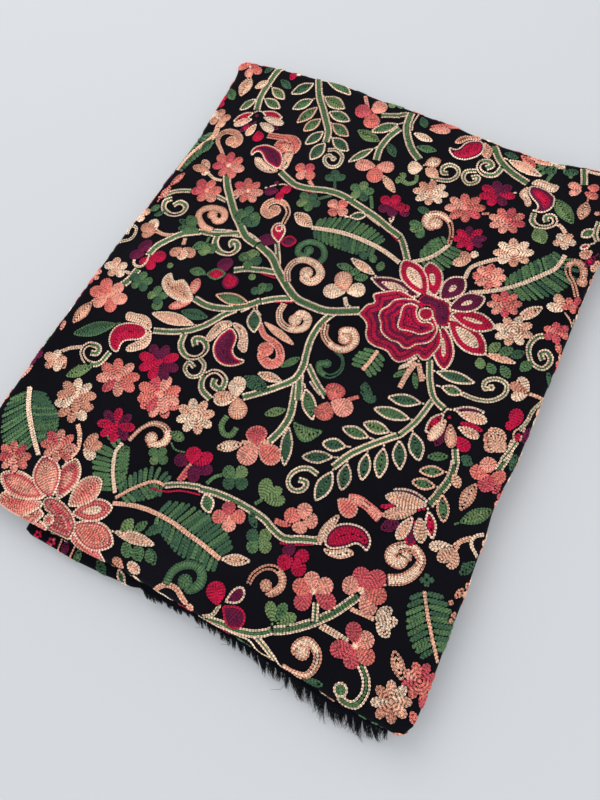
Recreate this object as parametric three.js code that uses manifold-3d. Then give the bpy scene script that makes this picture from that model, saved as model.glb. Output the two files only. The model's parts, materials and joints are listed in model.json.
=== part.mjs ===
// An embroidered Kashmiri shawl, folded for the shelf and lying flat.
// The shawl is 1.03 m wide and 2.03 m long. It is folded in three across and in five along,
// so its outermost layer, with rounded folds on all four sides, covers the layers inside.
// The front edge also shows the next fold of the cloth and the shawl's own fringed end.
// Millimetres. X runs along the front edge, Y away from the fringe, Z up.

import * as THREE from 'three';
import Module from 'manifold-3d';
import { mergeVertices } from 'three/addons/utils/BufferGeometryUtils.js';

// Driving dimensions.
const SHAWL_WIDTH = 1032;
const SHAWL_LENGTH = 2030;
const FOLDS_ACROSS = 3;
const FOLDS_ALONG = 5;
const PACK_WIDTH = SHAWL_WIDTH / FOLDS_ACROSS;
const PACK_LENGTH = SHAWL_LENGTH / FOLDS_ALONG;
const PACK_HEIGHT = 25;
const CLOTH = 2;                 // wall of the cloth with its embroidery
const SEAM_GAP = 0.3;
const CORNER_RADIUS = 9;
const CROWN = 1.2;               // how much higher the middle of the pack is than its edges
const TUCK = 2;                  // how far a turned-under edge reaches in past its fold

// Radii of the folds, from the outside of the cloth.
const TOP_FOLD = 6;
const BOTTOM_FOLD = 2.5;

// Heights of the layers at the front edge, from the top fold down.
const FLAP_TOP = PACK_HEIGHT - 2 * TOP_FOLD - SEAM_GAP;
const SECOND_TOP = FLAP_TOP - CLOTH - SEAM_GAP;
const SECOND_BOTTOM = 2 * BOTTOM_FOLD + SEAM_GAP;
const FRONT_LAYERS_DEPTH = 22;   // how far in under the top fold the front layers reach

// How far each edge of the pack stands in from a straight line, as the cloth was left.
const LEFT_EDGE = [
  { at: -203, inset: 0 }, { at: -100, inset: 1.5 }, { at: -40, inset: 3.5 }, { at: 10, inset: 4.8 },
  { at: 50, inset: 8.8 }, { at: 110, inset: 12.2 }, { at: 150, inset: 10.4 }, { at: 180, inset: 8.5 },
  { at: 203, inset: 3 },
];
const RIGHT_EDGE = [
  { at: -203, inset: -1 }, { at: -185, inset: -1.8 }, { at: -125, inset: 0 }, { at: -88, inset: 1.7 },
  { at: -60, inset: 4.2 }, { at: -28, inset: 2.1 }, { at: 50, inset: 2.7 }, { at: 105, inset: 3.5 },
  { at: 203, inset: 0.5 },
];
const FRONT_EDGE = [
  { at: -172, inset: 0 }, { at: -115, inset: -2.2 }, { at: -72, inset: -1 }, { at: -17, inset: 1.4 },
  { at: 64, inset: 1.6 }, { at: 104, inset: 0.4 }, { at: 131, inset: -0.8 }, { at: 172, inset: 0.3 },
];
const BACK_EDGE = [
  { at: -172, inset: -6.5 }, { at: -125, inset: -9.3 }, { at: -69, inset: -10 }, { at: -26, inset: -5.7 },
  { at: 26, inset: -1.9 }, { at: 52, inset: 2.2 }, { at: 77, inset: 5.3 }, { at: 112, inset: 7.1 },
  { at: 132, inset: 3.1 }, { at: 172, inset: 0.5 },
];

// The two folds of the inner layers that show between the top and the bottom ones.
const INNER_FOLDS = [
  { name: 'upper', inset: 1.6, wave: 0.9, waves: 5, phase: 0.4 },
  { name: 'lower', inset: 0.9, wave: 0.7, waves: 7, phase: 2.1 },
];
const CREASE_DEPTH = 2.6;
const INNER_FOLDS_TOP = PACK_HEIGHT - 2 * TOP_FOLD - SEAM_GAP;
const INNER_FOLDS_BOTTOM = 2 * BOTTOM_FOLD + SEAM_GAP;

// The second fold of embroidered cloth: its front line stands out from under the top fold.
const SECOND_FOLD_LINE = [
  { x: -106, out: 7 }, { x: -100, out: 8.6 }, { x: -70, out: 9.2 }, { x: -40, out: 8.8 },
  { x: -20, out: 7.6 }, { x: -4, out: 3 }, { x: 30, out: 1 }, { x: 90, out: 1.6 }, { x: 150, out: 0.8 },
];

// The plain fringed end: the line of its cut edge, with a rounded corner on the left.
const FLAP_LINE = [
  { x: -15, out: -4 }, { x: -14, out: 1.2 }, { x: -11, out: 4 }, { x: -5, out: 5.4 }, { x: 10, out: 4 },
  { x: 35, out: 2.2 }, { x: 60, out: 2.4 }, { x: 90, out: 3.2 }, { x: 125, out: 3.8 }, { x: 150, out: 2.6 },
  { x: 161, out: 1.2 },
];

// The fringe along the cut edge.
const STRIP_WIDTH = 1.6;
const STRIP_THICK = 1.4;
const STRIP_START = -9;
const STRAND_COUNT = 150;
const STRAND_ROOT = 0.42;        // half thickness of a lock at its root
const STRAND_TIP = 0.14;
const FLOOR_CLEARANCE = 0.8;
const FRINGE_LENGTH = [
  { x: -9, length: 3 }, { x: 4, length: 4.5 }, { x: 20, length: 3 }, { x: 38, length: 5.5 },
  { x: 60, length: 6 }, { x: 84, length: 10 }, { x: 100, length: 8 }, { x: 126, length: 12 },
  { x: 150, length: 12 }, { x: 159, length: 9 },
];

const HALF_WIDTH = PACK_WIDTH / 2;
const HALF_LENGTH = PACK_LENGTH / 2;

// ---- Small helpers ----------------------------------------------------------------------

// Reads a table of rows by its place column, with a soft curve from row to row.
function readTable(rows, place, column, value) {
  if (place <= rows[0][column]) return rows[0][value];
  for (let i = 1; i < rows.length; i += 1) {
    const a = rows[i - 1];
    const b = rows[i];
    if (place <= b[column]) {
      const t = (place - a[column]) / (b[column] - a[column]);
      return THREE.MathUtils.lerp(a[value], b[value], t * t * (3 - 2 * t));
    }
  }
  return rows[rows.length - 1][value];
}

// How much an edge moves a point: all at the edge itself, nothing past the middle.
function nearEdge(distanceFromMiddle, half) {
  const t = THREE.MathUtils.clamp(distanceFromMiddle / half, 0, 1);
  return t * t;
}

// Turns a place on the straight rectangle into the place on the real, slightly skewed pack.
function settle(x, y) {
  const left = readTable(LEFT_EDGE, y, 'at', 'inset') * nearEdge(-x, HALF_WIDTH);
  const right = readTable(RIGHT_EDGE, y, 'at', 'inset') * nearEdge(x, HALF_WIDTH);
  const front = readTable(FRONT_EDGE, x, 'at', 'inset') * nearEdge(-y, HALF_LENGTH);
  const back = readTable(BACK_EDGE, x, 'at', 'inset') * nearEdge(y, HALF_LENGTH);
  return { x: x + left - right, y: y + front - back };
}

function crownAt(x, y) {
  const across = 1 - Math.min(1, (x / HALF_WIDTH) ** 2);
  const along = 1 - Math.min(1, (y / HALF_LENGTH) ** 2);
  return CROWN * across * along;
}

// The rim of the pack: a rounded rectangle, walked once round, as centres and directions.
const CORNER_STEPS = 4;
const SIDE_STEPS = 13;
const END_STEPS = 12;

function makeRim() {
  const rim = [];
  const cx = HALF_WIDTH - CORNER_RADIUS;
  const cy = HALF_LENGTH - CORNER_RADIUS;
  const corners = [
    { x: cx, y: -cy, from: -90 }, { x: cx, y: cy, from: 0 },
    { x: -cx, y: cy, from: 90 }, { x: -cx, y: -cy, from: 180 },
  ];
  corners.forEach((corner, index) => {
    for (let i = 0; i <= CORNER_STEPS; i += 1) {
      const angle = THREE.MathUtils.degToRad(corner.from + (90 * i) / CORNER_STEPS);
      rim.push({ x: corner.x, y: corner.y, dx: Math.cos(angle), dy: Math.sin(angle) });
    }
    const next = corners[(index + 1) % corners.length];
    const angle = THREE.MathUtils.degToRad(corner.from + 90);
    const steps = index % 2 === 0 ? SIDE_STEPS : END_STEPS;
    for (let i = 1; i < steps; i += 1) {
      rim.push({
        x: THREE.MathUtils.lerp(corner.x, next.x, i / steps),
        y: THREE.MathUtils.lerp(corner.y, next.y, i / steps),
        dx: Math.cos(angle),
        dy: Math.sin(angle),
      });
    }
  });
  return rim;
}

const RIM = makeRim();

// One closed loop of points round the pack, a given distance in from the rim.
// heightOf and insetOf may change from point to point.
function rimLoop(insetOf, heightOf) {
  return RIM.map((r, k) => {
    const reach = CORNER_RADIUS - insetOf(r, k);
    const p = settle(r.x + r.dx * reach, r.y + r.dy * reach);
    return new THREE.Vector3(p.x, p.y, heightOf(r, k));
  });
}

// Loops that close in on the middle of the top or the bottom, with the crown of the pack.
function innerLoop(scale, height, crowned) {
  const inset = CORNER_RADIUS - 1;
  return RIM.map((r) => {
    const x = (r.x + r.dx * (CORNER_RADIUS - inset)) * scale;
    const y = (r.y + r.dy * (CORNER_RADIUS - inset)) * scale;
    const p = settle(x, y);
    return new THREE.Vector3(p.x, p.y, height + (crowned ? crownAt(x, y) : 0));
  });
}

// Joins triangles into one closed geometry whose faces point out.
function closedGeometry(points, faces) {
  let volume = 0;
  faces.forEach(([a, b, c]) => {
    volume += points[a].dot(new THREE.Vector3().crossVectors(points[b], points[c]));
  });
  const index = volume >= 0 ? faces.flat() : faces.map(([a, b, c]) => [a, c, b]).flat();
  const geometry = new THREE.BufferGeometry();
  geometry.setAttribute('position', new THREE.Float32BufferAttribute(points.flatMap((p) => p.toArray()), 3));
  geometry.setIndex(index);
  return geometry;
}

// A body made of loops of equal length, from a middle point to another middle point.
function loopBody(startPoint, loops, endPoint) {
  const count = loops[0].length;
  const points = [startPoint, ...loops.flat(), endPoint];
  const last = points.length - 1;
  const faces = [];
  for (let k = 0; k < count; k += 1) {
    const n = (k + 1) % count;
    faces.push([0, 1 + k, 1 + n]);
    for (let loop = 1; loop < loops.length; loop += 1) {
      const a = 1 + (loop - 1) * count;
      const b = 1 + loop * count;
      faces.push([a + k, b + k, b + n], [a + k, b + n, a + n]);
    }
    const a = 1 + (loops.length - 1) * count;
    faces.push([last, a + n, a + k]);
  }
  return closedGeometry(points, faces);
}

// A body made of equal closed sections, one after another, closed by flat ends.
function sectionBody(sections) {
  const count = sections[0].length;
  const points = sections.flat();
  const faces = [];
  for (let s = 1; s < sections.length; s += 1) {
    const a = (s - 1) * count;
    const b = s * count;
    for (let k = 0; k < count; k += 1) {
      const n = (k + 1) % count;
      faces.push([a + k, b + k, b + n], [a + k, b + n, a + n]);
    }
  }
  const end = (sections.length - 1) * count;
  const outline = sections[0].map((p) => new THREE.Vector2(p.y, p.z));
  const forward = THREE.ShapeUtils.area(outline) > 0;
  THREE.ShapeUtils.triangulateShape(outline, []).forEach(([i, j, k]) => {
    const [a, b, c] = forward ? [i, j, k] : [k, j, i];
    faces.push([a, b, c], [end + a, end + c, end + b]);
  });
  return closedGeometry(points, faces);
}

function makeMesh(name, geometry, color, roughness) {
  const material = new THREE.MeshStandardMaterial({ color, roughness, metalness: 0 });
  const mesh = new THREE.Mesh(geometry, material);
  mesh.name = name;
  return mesh;
}

// ---- The cloth that shows on top ----------------------------------------------------------

const FOLD_STEPS = 6;
const TOP_RINGS = [0.34, 0.66, 0.88];
const FLAT_INSET = CORNER_RADIUS - 1;

// The half circle of a fold: how far in and how high each step of it lies.
function foldSteps(radius, centreInset, centreHeight, steps, side) {
  return Array.from({ length: steps + 1 }, (_, i) => {
    const angle = (Math.PI * i) / steps;
    return {
      inset: centreInset - radius * Math.sin(angle),
      height: centreHeight + side * radius * Math.cos(angle),
    };
  });
}

function loopsOf(rows) {
  return rows.map((row) => rimLoop(() => row.inset, () => row.height));
}

// A panel of cloth whose four sides turn round a fold and tuck in. side is 1 for the
// top of the pack, whose folds turn down, and -1 for the bottom, whose folds turn up.
function foldedPanel({ radius, edgeInset, face, side, rings, crowned, steps }) {
  const centre = edgeInset + radius;
  const height = face - side * radius;
  const outer = foldSteps(radius, centre, height, steps, side);
  const inner = foldSteps(radius - CLOTH, centre, height, steps, side).reverse();
  const tuckInset = Math.min(centre + TUCK, FLAT_INSET);
  const outside = rings.map((scale) => innerLoop(scale, face, crowned));
  const inside = [...rings].reverse().map((scale) => innerLoop(scale, face - side * CLOTH, crowned));
  const loops = [
    ...outside,
    ...loopsOf([{ inset: FLAT_INSET, height: face }]),
    ...loopsOf(outer),
    ...loopsOf([
      { inset: tuckInset, height: face - side * 2 * radius },
      { inset: tuckInset, height: face - side * (2 * radius - CLOTH) },
    ]),
    ...loopsOf(inner),
    ...loopsOf([{ inset: FLAT_INSET, height: face - side * CLOTH }]),
    ...inside,
  ];
  const middle = settle(0, 0);
  const crown = crowned ? CROWN : 0;
  return loopBody(
    new THREE.Vector3(middle.x, middle.y, face + crown),
    loops,
    new THREE.Vector3(middle.x, middle.y, face - side * CLOTH + crown),
  );
}

const BOTTOM_INSET = 1.2;

function topPanel() {
  return foldedPanel({
    radius: TOP_FOLD, edgeInset: 0, face: PACK_HEIGHT, side: 1, rings: TOP_RINGS, crowned: true,
    steps: FOLD_STEPS,
  });
}

function bottomPanel() {
  return foldedPanel({
    radius: BOTTOM_FOLD, edgeInset: BOTTOM_INSET, face: 0, side: -1, rings: [0.6], crowned: false,
    steps: 4,
  });
}

// ---- The layers inside --------------------------------------------------------------------

const RECESS_START = -112;
const RECESS_CORNER = [FRONT_LAYERS_DEPTH, 9, 7];

// How far in the inner layers stand where the front layers need room, or null elsewhere.
function recessInset(r, k) {
  if (k < RECESS_CORNER.length) return RECESS_CORNER[k];
  const onFront = r.dy < -0.99 && r.x > RECESS_START;
  return onFront ? FRONT_LAYERS_DEPTH : null;
}

function innerFoldInset(fold, r, k, bulge) {
  const recess = recessInset(r, k);
  if (recess !== null) return recess;
  const along = (2 * Math.PI * k) / RIM.length;
  const wave = fold.wave * Math.sin(fold.waves * along + fold.phase);
  return fold.inset + wave + CREASE_DEPTH * (1 - bulge);
}

function innerFoldLoops() {
  const foldHeight = (INNER_FOLDS_TOP - INNER_FOLDS_BOTTOM) / INNER_FOLDS.length;
  const loops = [];
  INNER_FOLDS.forEach((fold, index) => {
    const middle = INNER_FOLDS_TOP - foldHeight * (index + 0.5);
    [0, 40, 90, 140, 180].forEach((degrees) => {
      if (index > 0 && degrees === 0) return;
      const angle = THREE.MathUtils.degToRad(degrees);
      const height = middle + 0.5 * foldHeight * Math.cos(angle);
      const atTop = index === 0 && degrees === 0;
      const atBottom = index === INNER_FOLDS.length - 1 && degrees === 180;
      loops.push(rimLoop(
        (r, k) => innerFoldInset(fold, r, k, Math.sin(angle)),
        (r, k) => recessHeight(height, atTop, atBottom, recessInset(r, k) !== null),
      ));
    });
  });
  return loops;
}

// Beside the front layers the inner ones keep clear of them by the same seam gap.
function recessHeight(height, atTop, atBottom, inRecess) {
  if (inRecess && atTop) return height + SEAM_GAP;
  if (inRecess && atBottom) return height - SEAM_GAP;
  return height;
}

function hiddenLayers() {
  const top = PACK_HEIGHT - CLOTH - SEAM_GAP;
  const tongue = TOP_FOLD - CLOTH - SEAM_GAP;
  const tuckInset = TOP_FOLD + TUCK + SEAM_GAP;
  const lowInset = BOTTOM_INSET + BOTTOM_FOLD + TUCK + SEAM_GAP;
  const low = CLOTH + SEAM_GAP;
  const underTuck = (r, k) => recessHeight(INNER_FOLDS_TOP, true, false, recessInset(r, k) !== null);
  const overHem = (r, k) => recessHeight(INNER_FOLDS_BOTTOM, false, true, recessInset(r, k) !== null);
  const loops = [
    ...TOP_RINGS.map((scale) => innerLoop(scale, top, true)),
    ...loopsOf([{ inset: FLAT_INSET, height: top }]),
    ...loopsOf(foldSteps(tongue, TOP_FOLD, PACK_HEIGHT - TOP_FOLD, 4, 1)),
    ...loopsOf([{ inset: tuckInset, height: PACK_HEIGHT - TOP_FOLD - tongue }]),
    rimLoop(() => tuckInset, underTuck),
    ...innerFoldLoops(),
    rimLoop(() => lowInset, overHem),
    ...loopsOf([{ inset: lowInset, height: low }]),
    innerLoop(0.6, low, false),
  ];
  const middle = settle(0, 0);
  return loopBody(
    new THREE.Vector3(middle.x, middle.y, top + CROWN),
    loops,
    new THREE.Vector3(middle.x, middle.y, low),
  );
}

// ---- The front layers: the second fold and the fringed end --------------------------------

// A point on a front layer: x along the front, out past the straight front line, height.
function frontPoint(x, out, height) {
  const p = settle(x, -(HALF_LENGTH + out));
  return new THREE.Vector3(p.x, p.y, height);
}

function stations(from, to, step) {
  const count = Math.round((to - from) / step);
  return Array.from({ length: count + 1 }, (_, i) => THREE.MathUtils.lerp(from, to, i / count));
}

const LAYER_BACK = -20;          // where the front layers end inside the pack

function secondFold() {
  const radius = (SECOND_TOP - SECOND_BOTTOM) / 2;
  const middle = (SECOND_TOP + SECOND_BOTTOM) / 2;
  const first = SECOND_FOLD_LINE[0].x;
  const last = SECOND_FOLD_LINE[SECOND_FOLD_LINE.length - 1].x;
  const sections = stations(first, last, 8).map((x) => {
    const out = readTable(SECOND_FOLD_LINE, x, 'x', 'out') - radius;
    const outer = foldSteps(radius, 0, middle, 5, 1);
    const inner = foldSteps(radius - CLOTH, 0, middle, 2, 1).reverse();
    return [
      frontPoint(x, LAYER_BACK, SECOND_TOP),
      ...outer.map((step) => frontPoint(x, out - step.inset, step.height)),
      frontPoint(x, LAYER_BACK, SECOND_BOTTOM),
      frontPoint(x, LAYER_BACK, SECOND_BOTTOM + CLOTH),
      ...inner.map((step) => frontPoint(x, out - step.inset, step.height)),
      frontPoint(x, LAYER_BACK, SECOND_TOP - CLOTH),
    ];
  });
  return sectionBody(sections);
}

const FLAP_BOTTOM = FLAP_TOP - CLOTH;
const FLAP_EDGE_ROUND = 0.5;
const FLAP_TURN = 148;           // from here to its right end the flap gets narrower
const FLAP_END_BACK = -6;

function flapBack(x, last) {
  const t = THREE.MathUtils.clamp((x - FLAP_TURN) / (last - FLAP_TURN), 0, 1);
  return THREE.MathUtils.lerp(LAYER_BACK, FLAP_END_BACK, t);
}

// Places along the cut edge: close together round its corner, wider apart after it.
const FLAP_FIRST = FLAP_LINE[0].x;
const FLAP_LAST = FLAP_LINE[FLAP_LINE.length - 1].x;
const FLAP_PLACES = [...stations(FLAP_FIRST, STRIP_START + 4, 2), ...stations(3, FLAP_LAST, 8)];

function fringedEnd() {
  const sections = FLAP_PLACES.map((x) => {
    const out = readTable(FLAP_LINE, x, 'x', 'out');
    const back = flapBack(x, FLAP_LAST);
    return [
      frontPoint(x, back, FLAP_BOTTOM),
      frontPoint(x, back, FLAP_TOP),
      frontPoint(x, out - FLAP_EDGE_ROUND, FLAP_TOP),
      frontPoint(x, out, FLAP_TOP - FLAP_EDGE_ROUND),
      frontPoint(x, out, FLAP_BOTTOM + FLAP_EDGE_ROUND),
      frontPoint(x, out - FLAP_EDGE_ROUND, FLAP_BOTTOM),
    ];
  });
  return sectionBody(sections);
}

// ---- The fringe ---------------------------------------------------------------------------

const STRIP_HEIGHT = FLAP_BOTTOM + CLOTH / 2;

function stripFront(x) {
  return readTable(FLAP_LINE, x, 'x', 'out') + SEAM_GAP + STRIP_WIDTH;
}

function fringeStrip() {
  const half = STRIP_THICK / 2;
  return sectionBody(FLAP_PLACES.filter((x) => x >= STRIP_START).map((x) => {
    const front = stripFront(x);
    return [
      frontPoint(x, front - STRIP_WIDTH, STRIP_HEIGHT - half),
      frontPoint(x, front - STRIP_WIDTH, STRIP_HEIGHT + half),
      frontPoint(x, front, STRIP_HEIGHT + half),
      frontPoint(x, front, STRIP_HEIGHT - half),
    ];
  }));
}

// How uneven the locks are: a steady, repeatable value between -1 and 1 for each lock.
function uneven(index, turn) {
  return 0.6 * Math.sin(index * 2.4 + turn) + 0.4 * Math.sin(index * 0.71 + 3 * turn);
}

// One lock of fringe: it leaves the strip, bends over and hangs to just above the floor.
function strand(index) {
  const t = (index + 0.5) / STRAND_COUNT;
  const x = THREE.MathUtils.lerp(STRIP_START + 0.8, FLAP_LAST - 0.8, t);
  const length = readTable(FRINGE_LENGTH, x, 'x', 'length') * (1 + 0.28 * uneven(index, 0.5));
  const lean = 1.1 * Math.sin(x * 0.45) * Math.min(1, length / 8);
  const root = stripFront(x);
  const lowest = FLOOR_CLEARANCE + 0.6 * (1 + uneven(index, 1.7));
  const sections = [
    { out: -0.7, drop: 0, side: 0, half: STRAND_ROOT },
    { out: 0.42 * length, drop: 0.2 * length, side: 0.4 * lean, half: 0.75 * STRAND_ROOT },
    { out: 0.62 * length, drop: 0.74 * length, side: lean, half: STRAND_TIP },
  ].map((part) => {
    const height = Math.max(STRIP_HEIGHT - part.drop, lowest);
    const middle = frontPoint(x + part.side, root + part.out, height);
    return [90, 210, 330].map((degrees) => {
      const angle = THREE.MathUtils.degToRad(degrees);
      const along = part.half * Math.cos(angle);
      const up = part.half * Math.sin(angle);
      return new THREE.Vector3(middle.x + along, middle.y - 0.5 * up, middle.z + 0.87 * up);
    });
  });
  return strandBody(sections);
}

// Three-sided sections joined and closed at both ends by one triangle each.
function strandBody(sections) {
  const points = sections.flat();
  const faces = [[0, 1, 2]];
  for (let s = 1; s < sections.length; s += 1) {
    const a = 3 * (s - 1);
    const b = 3 * s;
    for (let k = 0; k < 3; k += 1) {
      const n = (k + 1) % 3;
      faces.push([a + k, b + k, b + n], [a + k, b + n, a + n]);
    }
  }
  const end = points.length - 3;
  faces.push([end, end + 2, end + 1]);
  return closedGeometry(points, faces);
}

const wasm = await Module();
wasm.setup();

function toSolid(geometry) {
  const merged = mergeVertices(geometry);
  return new wasm.Manifold(new wasm.Mesh({
    numProp: 3,
    vertProperties: new Float32Array(merged.attributes.position.array),
    triVerts: new Uint32Array(merged.index.array),
  }));
}

function fromSolid(solid) {
  const mesh = solid.getMesh();
  const geometry = new THREE.BufferGeometry();
  geometry.setAttribute('position', new THREE.BufferAttribute(new Float32Array(mesh.vertProperties), 3));
  geometry.setIndex(new THREE.BufferAttribute(new Uint32Array(mesh.triVerts), 1));
  return geometry;
}

function endFringe() {
  let solid = toSolid(fringeStrip());
  for (let index = 0; index < STRAND_COUNT; index += 1) {
    solid = solid.add(toSolid(strand(index)));
  }
  return fromSolid(solid);
}

// ---- The whole folded shawl ---------------------------------------------------------------

const shawl = new THREE.Group();
shawl.add(makeMesh('top_panel', topPanel(), 0x14131a, 0.86));
shawl.add(makeMesh('second_fold', secondFold(), 0x17161e, 0.86));
shawl.add(makeMesh('fringed_end', fringedEnd(), 0x0f0f15, 0.88));
shawl.add(makeMesh('end_fringe', endFringe(), 0x0c0c11, 0.8));
shawl.add(makeMesh('hidden_layers', hiddenLayers(), 0x121118, 0.88));
shawl.add(makeMesh('bottom_panel', bottomPanel(), 0x14131a, 0.88));

// The origin is the middle of the whole pack's footprint, on the surface it lies on.
const box = new THREE.Box3().setFromObject(shawl);
shawl.position.set(-(box.min.x + box.max.x) / 2, -(box.min.y + box.max.y) / 2, -box.min.z);
shawl.updateMatrixWorld(true);

export default shawl;
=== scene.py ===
# %% [markdown]
# # An embroidered Kashmiri shawl, folded and lying flat
# The shawl is black wool covered with chain stitch, folded in three across and five along.
# The CAD solids give the form. This scene lays cloth on them and works the embroidery
# on the cloth stitch by stitch, as the hook works it.
#
# A maker starts with the woven cloth, so the first cells say how the cloth lies. The
# embroidery is planned in cloth coordinates, as millimetres on the flat cloth, and is carried
# over the folds only at the end. The cloth, the fringe, the floor and the lights close it.

# %% Set-up
import json
import math
import bpy
import numpy as np
from mathutils import Matrix, Vector

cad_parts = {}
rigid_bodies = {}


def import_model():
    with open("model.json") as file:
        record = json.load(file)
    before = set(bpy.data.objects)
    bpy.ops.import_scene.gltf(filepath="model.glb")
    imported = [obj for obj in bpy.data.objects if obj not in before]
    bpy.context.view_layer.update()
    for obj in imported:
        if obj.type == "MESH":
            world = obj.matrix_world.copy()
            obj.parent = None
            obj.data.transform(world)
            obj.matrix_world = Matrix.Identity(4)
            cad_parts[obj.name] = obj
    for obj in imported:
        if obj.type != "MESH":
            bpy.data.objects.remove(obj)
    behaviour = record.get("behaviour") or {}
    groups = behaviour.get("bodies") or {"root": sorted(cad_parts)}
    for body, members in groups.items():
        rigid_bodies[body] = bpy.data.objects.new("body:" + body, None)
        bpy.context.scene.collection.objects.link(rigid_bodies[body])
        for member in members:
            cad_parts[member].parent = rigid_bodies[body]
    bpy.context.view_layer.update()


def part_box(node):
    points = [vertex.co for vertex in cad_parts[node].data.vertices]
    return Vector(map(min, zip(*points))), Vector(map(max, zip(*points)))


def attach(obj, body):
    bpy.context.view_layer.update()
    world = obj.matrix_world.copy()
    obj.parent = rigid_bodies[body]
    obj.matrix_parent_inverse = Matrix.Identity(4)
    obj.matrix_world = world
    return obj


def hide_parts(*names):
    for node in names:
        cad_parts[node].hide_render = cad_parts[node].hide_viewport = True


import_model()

MM = 0.001
rng = np.random.default_rng(11)

# %% [markdown]
# ## Sizes
# Every size is in millimetres, in the frame of the pack of cloth, whose origin is under the
# middle of the straight rectangle that the cloth was folded to. They are the sizes that the
# solids were made from, so the cloth can be worked out from them instead of being wrapped on
# the solids by a modifier, which would lose where each thread runs.

# %% Sizes of the pack
PACK_WIDTH = 344
PACK_LENGTH = 406
PACK_HEIGHT = 25
HALF_WIDTH = PACK_WIDTH / 2
HALF_LENGTH = PACK_LENGTH / 2
CORNER_RADIUS = 9
CROWN = 1.2
TOP_FOLD = 6
BOTTOM_FOLD = 2.5
BOTTOM_INSET = 1.2
TUCK = 2
SEAM_GAP = 0.3
CLOTH = 2
GROUND_LIFT = -0.45          # the wool itself lies this much under the face of the solid
GROUND_THICK = 1.1
INNER_TOP = PACK_HEIGHT - 2 * TOP_FOLD - SEAM_GAP
INNER_BOTTOM = 2 * BOTTOM_FOLD + SEAM_GAP
print("pack, mm:", PACK_WIDTH, "by", PACK_LENGTH, "by", PACK_HEIGHT)

# %% [markdown]
# ## How the cloth was left
# Folded wool is never quite square. Its edges wave in and out by a few millimetres, and a
# hand that smoothed it leaves soft troughs on the top. A cloth simulation would find such
# waves by chance. They are listed here, so that they agree with the solids' edges.

# %% Edges and troughs
# How far each edge stands in from a straight line: (place along the edge, inset).
LEFT_EDGE = (
    (-203, 0), (-100, 1.5), (-40, 3.5), (10, 4.8), (50, 8.8), (110, 12.2), (150, 10.4),
    (180, 8.5), (203, 3),
)
RIGHT_EDGE = (
    (-203, -1), (-185, -1.8), (-125, 0), (-88, 1.7), (-60, 4.2), (-28, 2.1), (50, 2.7),
    (105, 3.5), (203, 0.5),
)
FRONT_EDGE = (
    (-172, 0), (-115, -2.2), (-72, -1), (-17, 1.4), (64, 1.6), (104, 0.4), (131, -0.8),
    (172, 0.3),
)
BACK_EDGE = (
    (-172, -6.5), (-125, -9.3), (-69, -10), (-26, -5.7), (26, -1.9), (52, 2.2), (77, 5.3),
    (112, 7.1), (132, 3.1), (172, 0.5),
)

# Soft troughs: (middle x, middle y, direction in degrees, half length, half width, depth).
CREASES = (
    (-150, 60, 78, 70, 9, 0.9), (-120, -150, 15, 45, 8, 0.7), (60, 150, -20, 80, 11, 0.8),
    (150, -70, 84, 60, 8, 0.9), (20, -170, 4, 70, 7, 0.6), (-60, 120, 35, 50, 10, 0.5),
    (110, 20, 60, 55, 12, 0.5), (-30, -60, -40, 60, 12, 0.45), (120, -165, 30, 30, 7, 0.7),
    (-155, 150, 70, 35, 7, 0.8), (10, 60, 80, 60, 14, 0.4), (-110, 0, -70, 45, 10, 0.5),
)
PUCKER = 0.14                # the embroidery draws the wool in by about this much
print("troughs in the top cloth:", len(CREASES))


# %% [markdown]
# ## The cloth as a surface
# The same curves shape the edges of the solids, so the cloth lies exactly on them. A place
# on the cloth is measured along the cloth, over the fold and round it, as a tape would
# measure it. One function turns such a place into a point in space, and both the cloth and
# every stitch on it are made through that function, so none can come apart from the other.

# %% Reading a table, and settling a point into the waved outline
def read_table(rows, place):
    places = np.array([row[0] for row in rows], float)
    values = np.array([row[1] for row in rows], float)
    place = np.clip(np.asarray(place, float), places[0], places[-1])
    i = np.clip(np.searchsorted(places, place, side="right") - 1, 0, len(places) - 2)
    t = (place - places[i]) / (places[i + 1] - places[i])
    t = t * t * (3 - 2 * t)
    return values[i] * (1 - t) + values[i + 1] * t


def near_edge(distance, half):
    return np.clip(distance / half, 0, 1) ** 2


def settle(x, y):
    left = read_table(LEFT_EDGE, y) * near_edge(-x, HALF_WIDTH)
    right = read_table(RIGHT_EDGE, y) * near_edge(x, HALF_WIDTH)
    front = read_table(FRONT_EDGE, x) * near_edge(-y, HALF_LENGTH)
    back = read_table(BACK_EDGE, x) * near_edge(y, HALF_LENGTH)
    return x + left - right, y + front - back


# %% The crown of the pack and the troughs in it
def crown_at(x, y):
    across = 1 - np.minimum(1, (x / HALF_WIDTH) ** 2)
    along = 1 - np.minimum(1, (y / HALF_LENGTH) ** 2)
    return CROWN * across * along


def creases_at(u, v):
    total = np.zeros_like(u)
    for x, y, degrees, half_length, half_width, depth in CREASES:
        c = math.cos(math.radians(degrees))
        s = math.sin(math.radians(degrees))
        along = (u - x) * c + (v - y) * s
        across = -(u - x) * s + (v - y) * c + 3 * np.sin(along / 17)
        total -= depth * np.exp(-((along / half_length) ** 4) - (across / half_width) ** 2)
    pucker = np.sin(u / 7.3 + 1.7 * np.sin(v / 11)) * np.sin(v / 8.1 + 1.3 * np.sin(u / 13))
    return total + PUCKER * pucker


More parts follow.
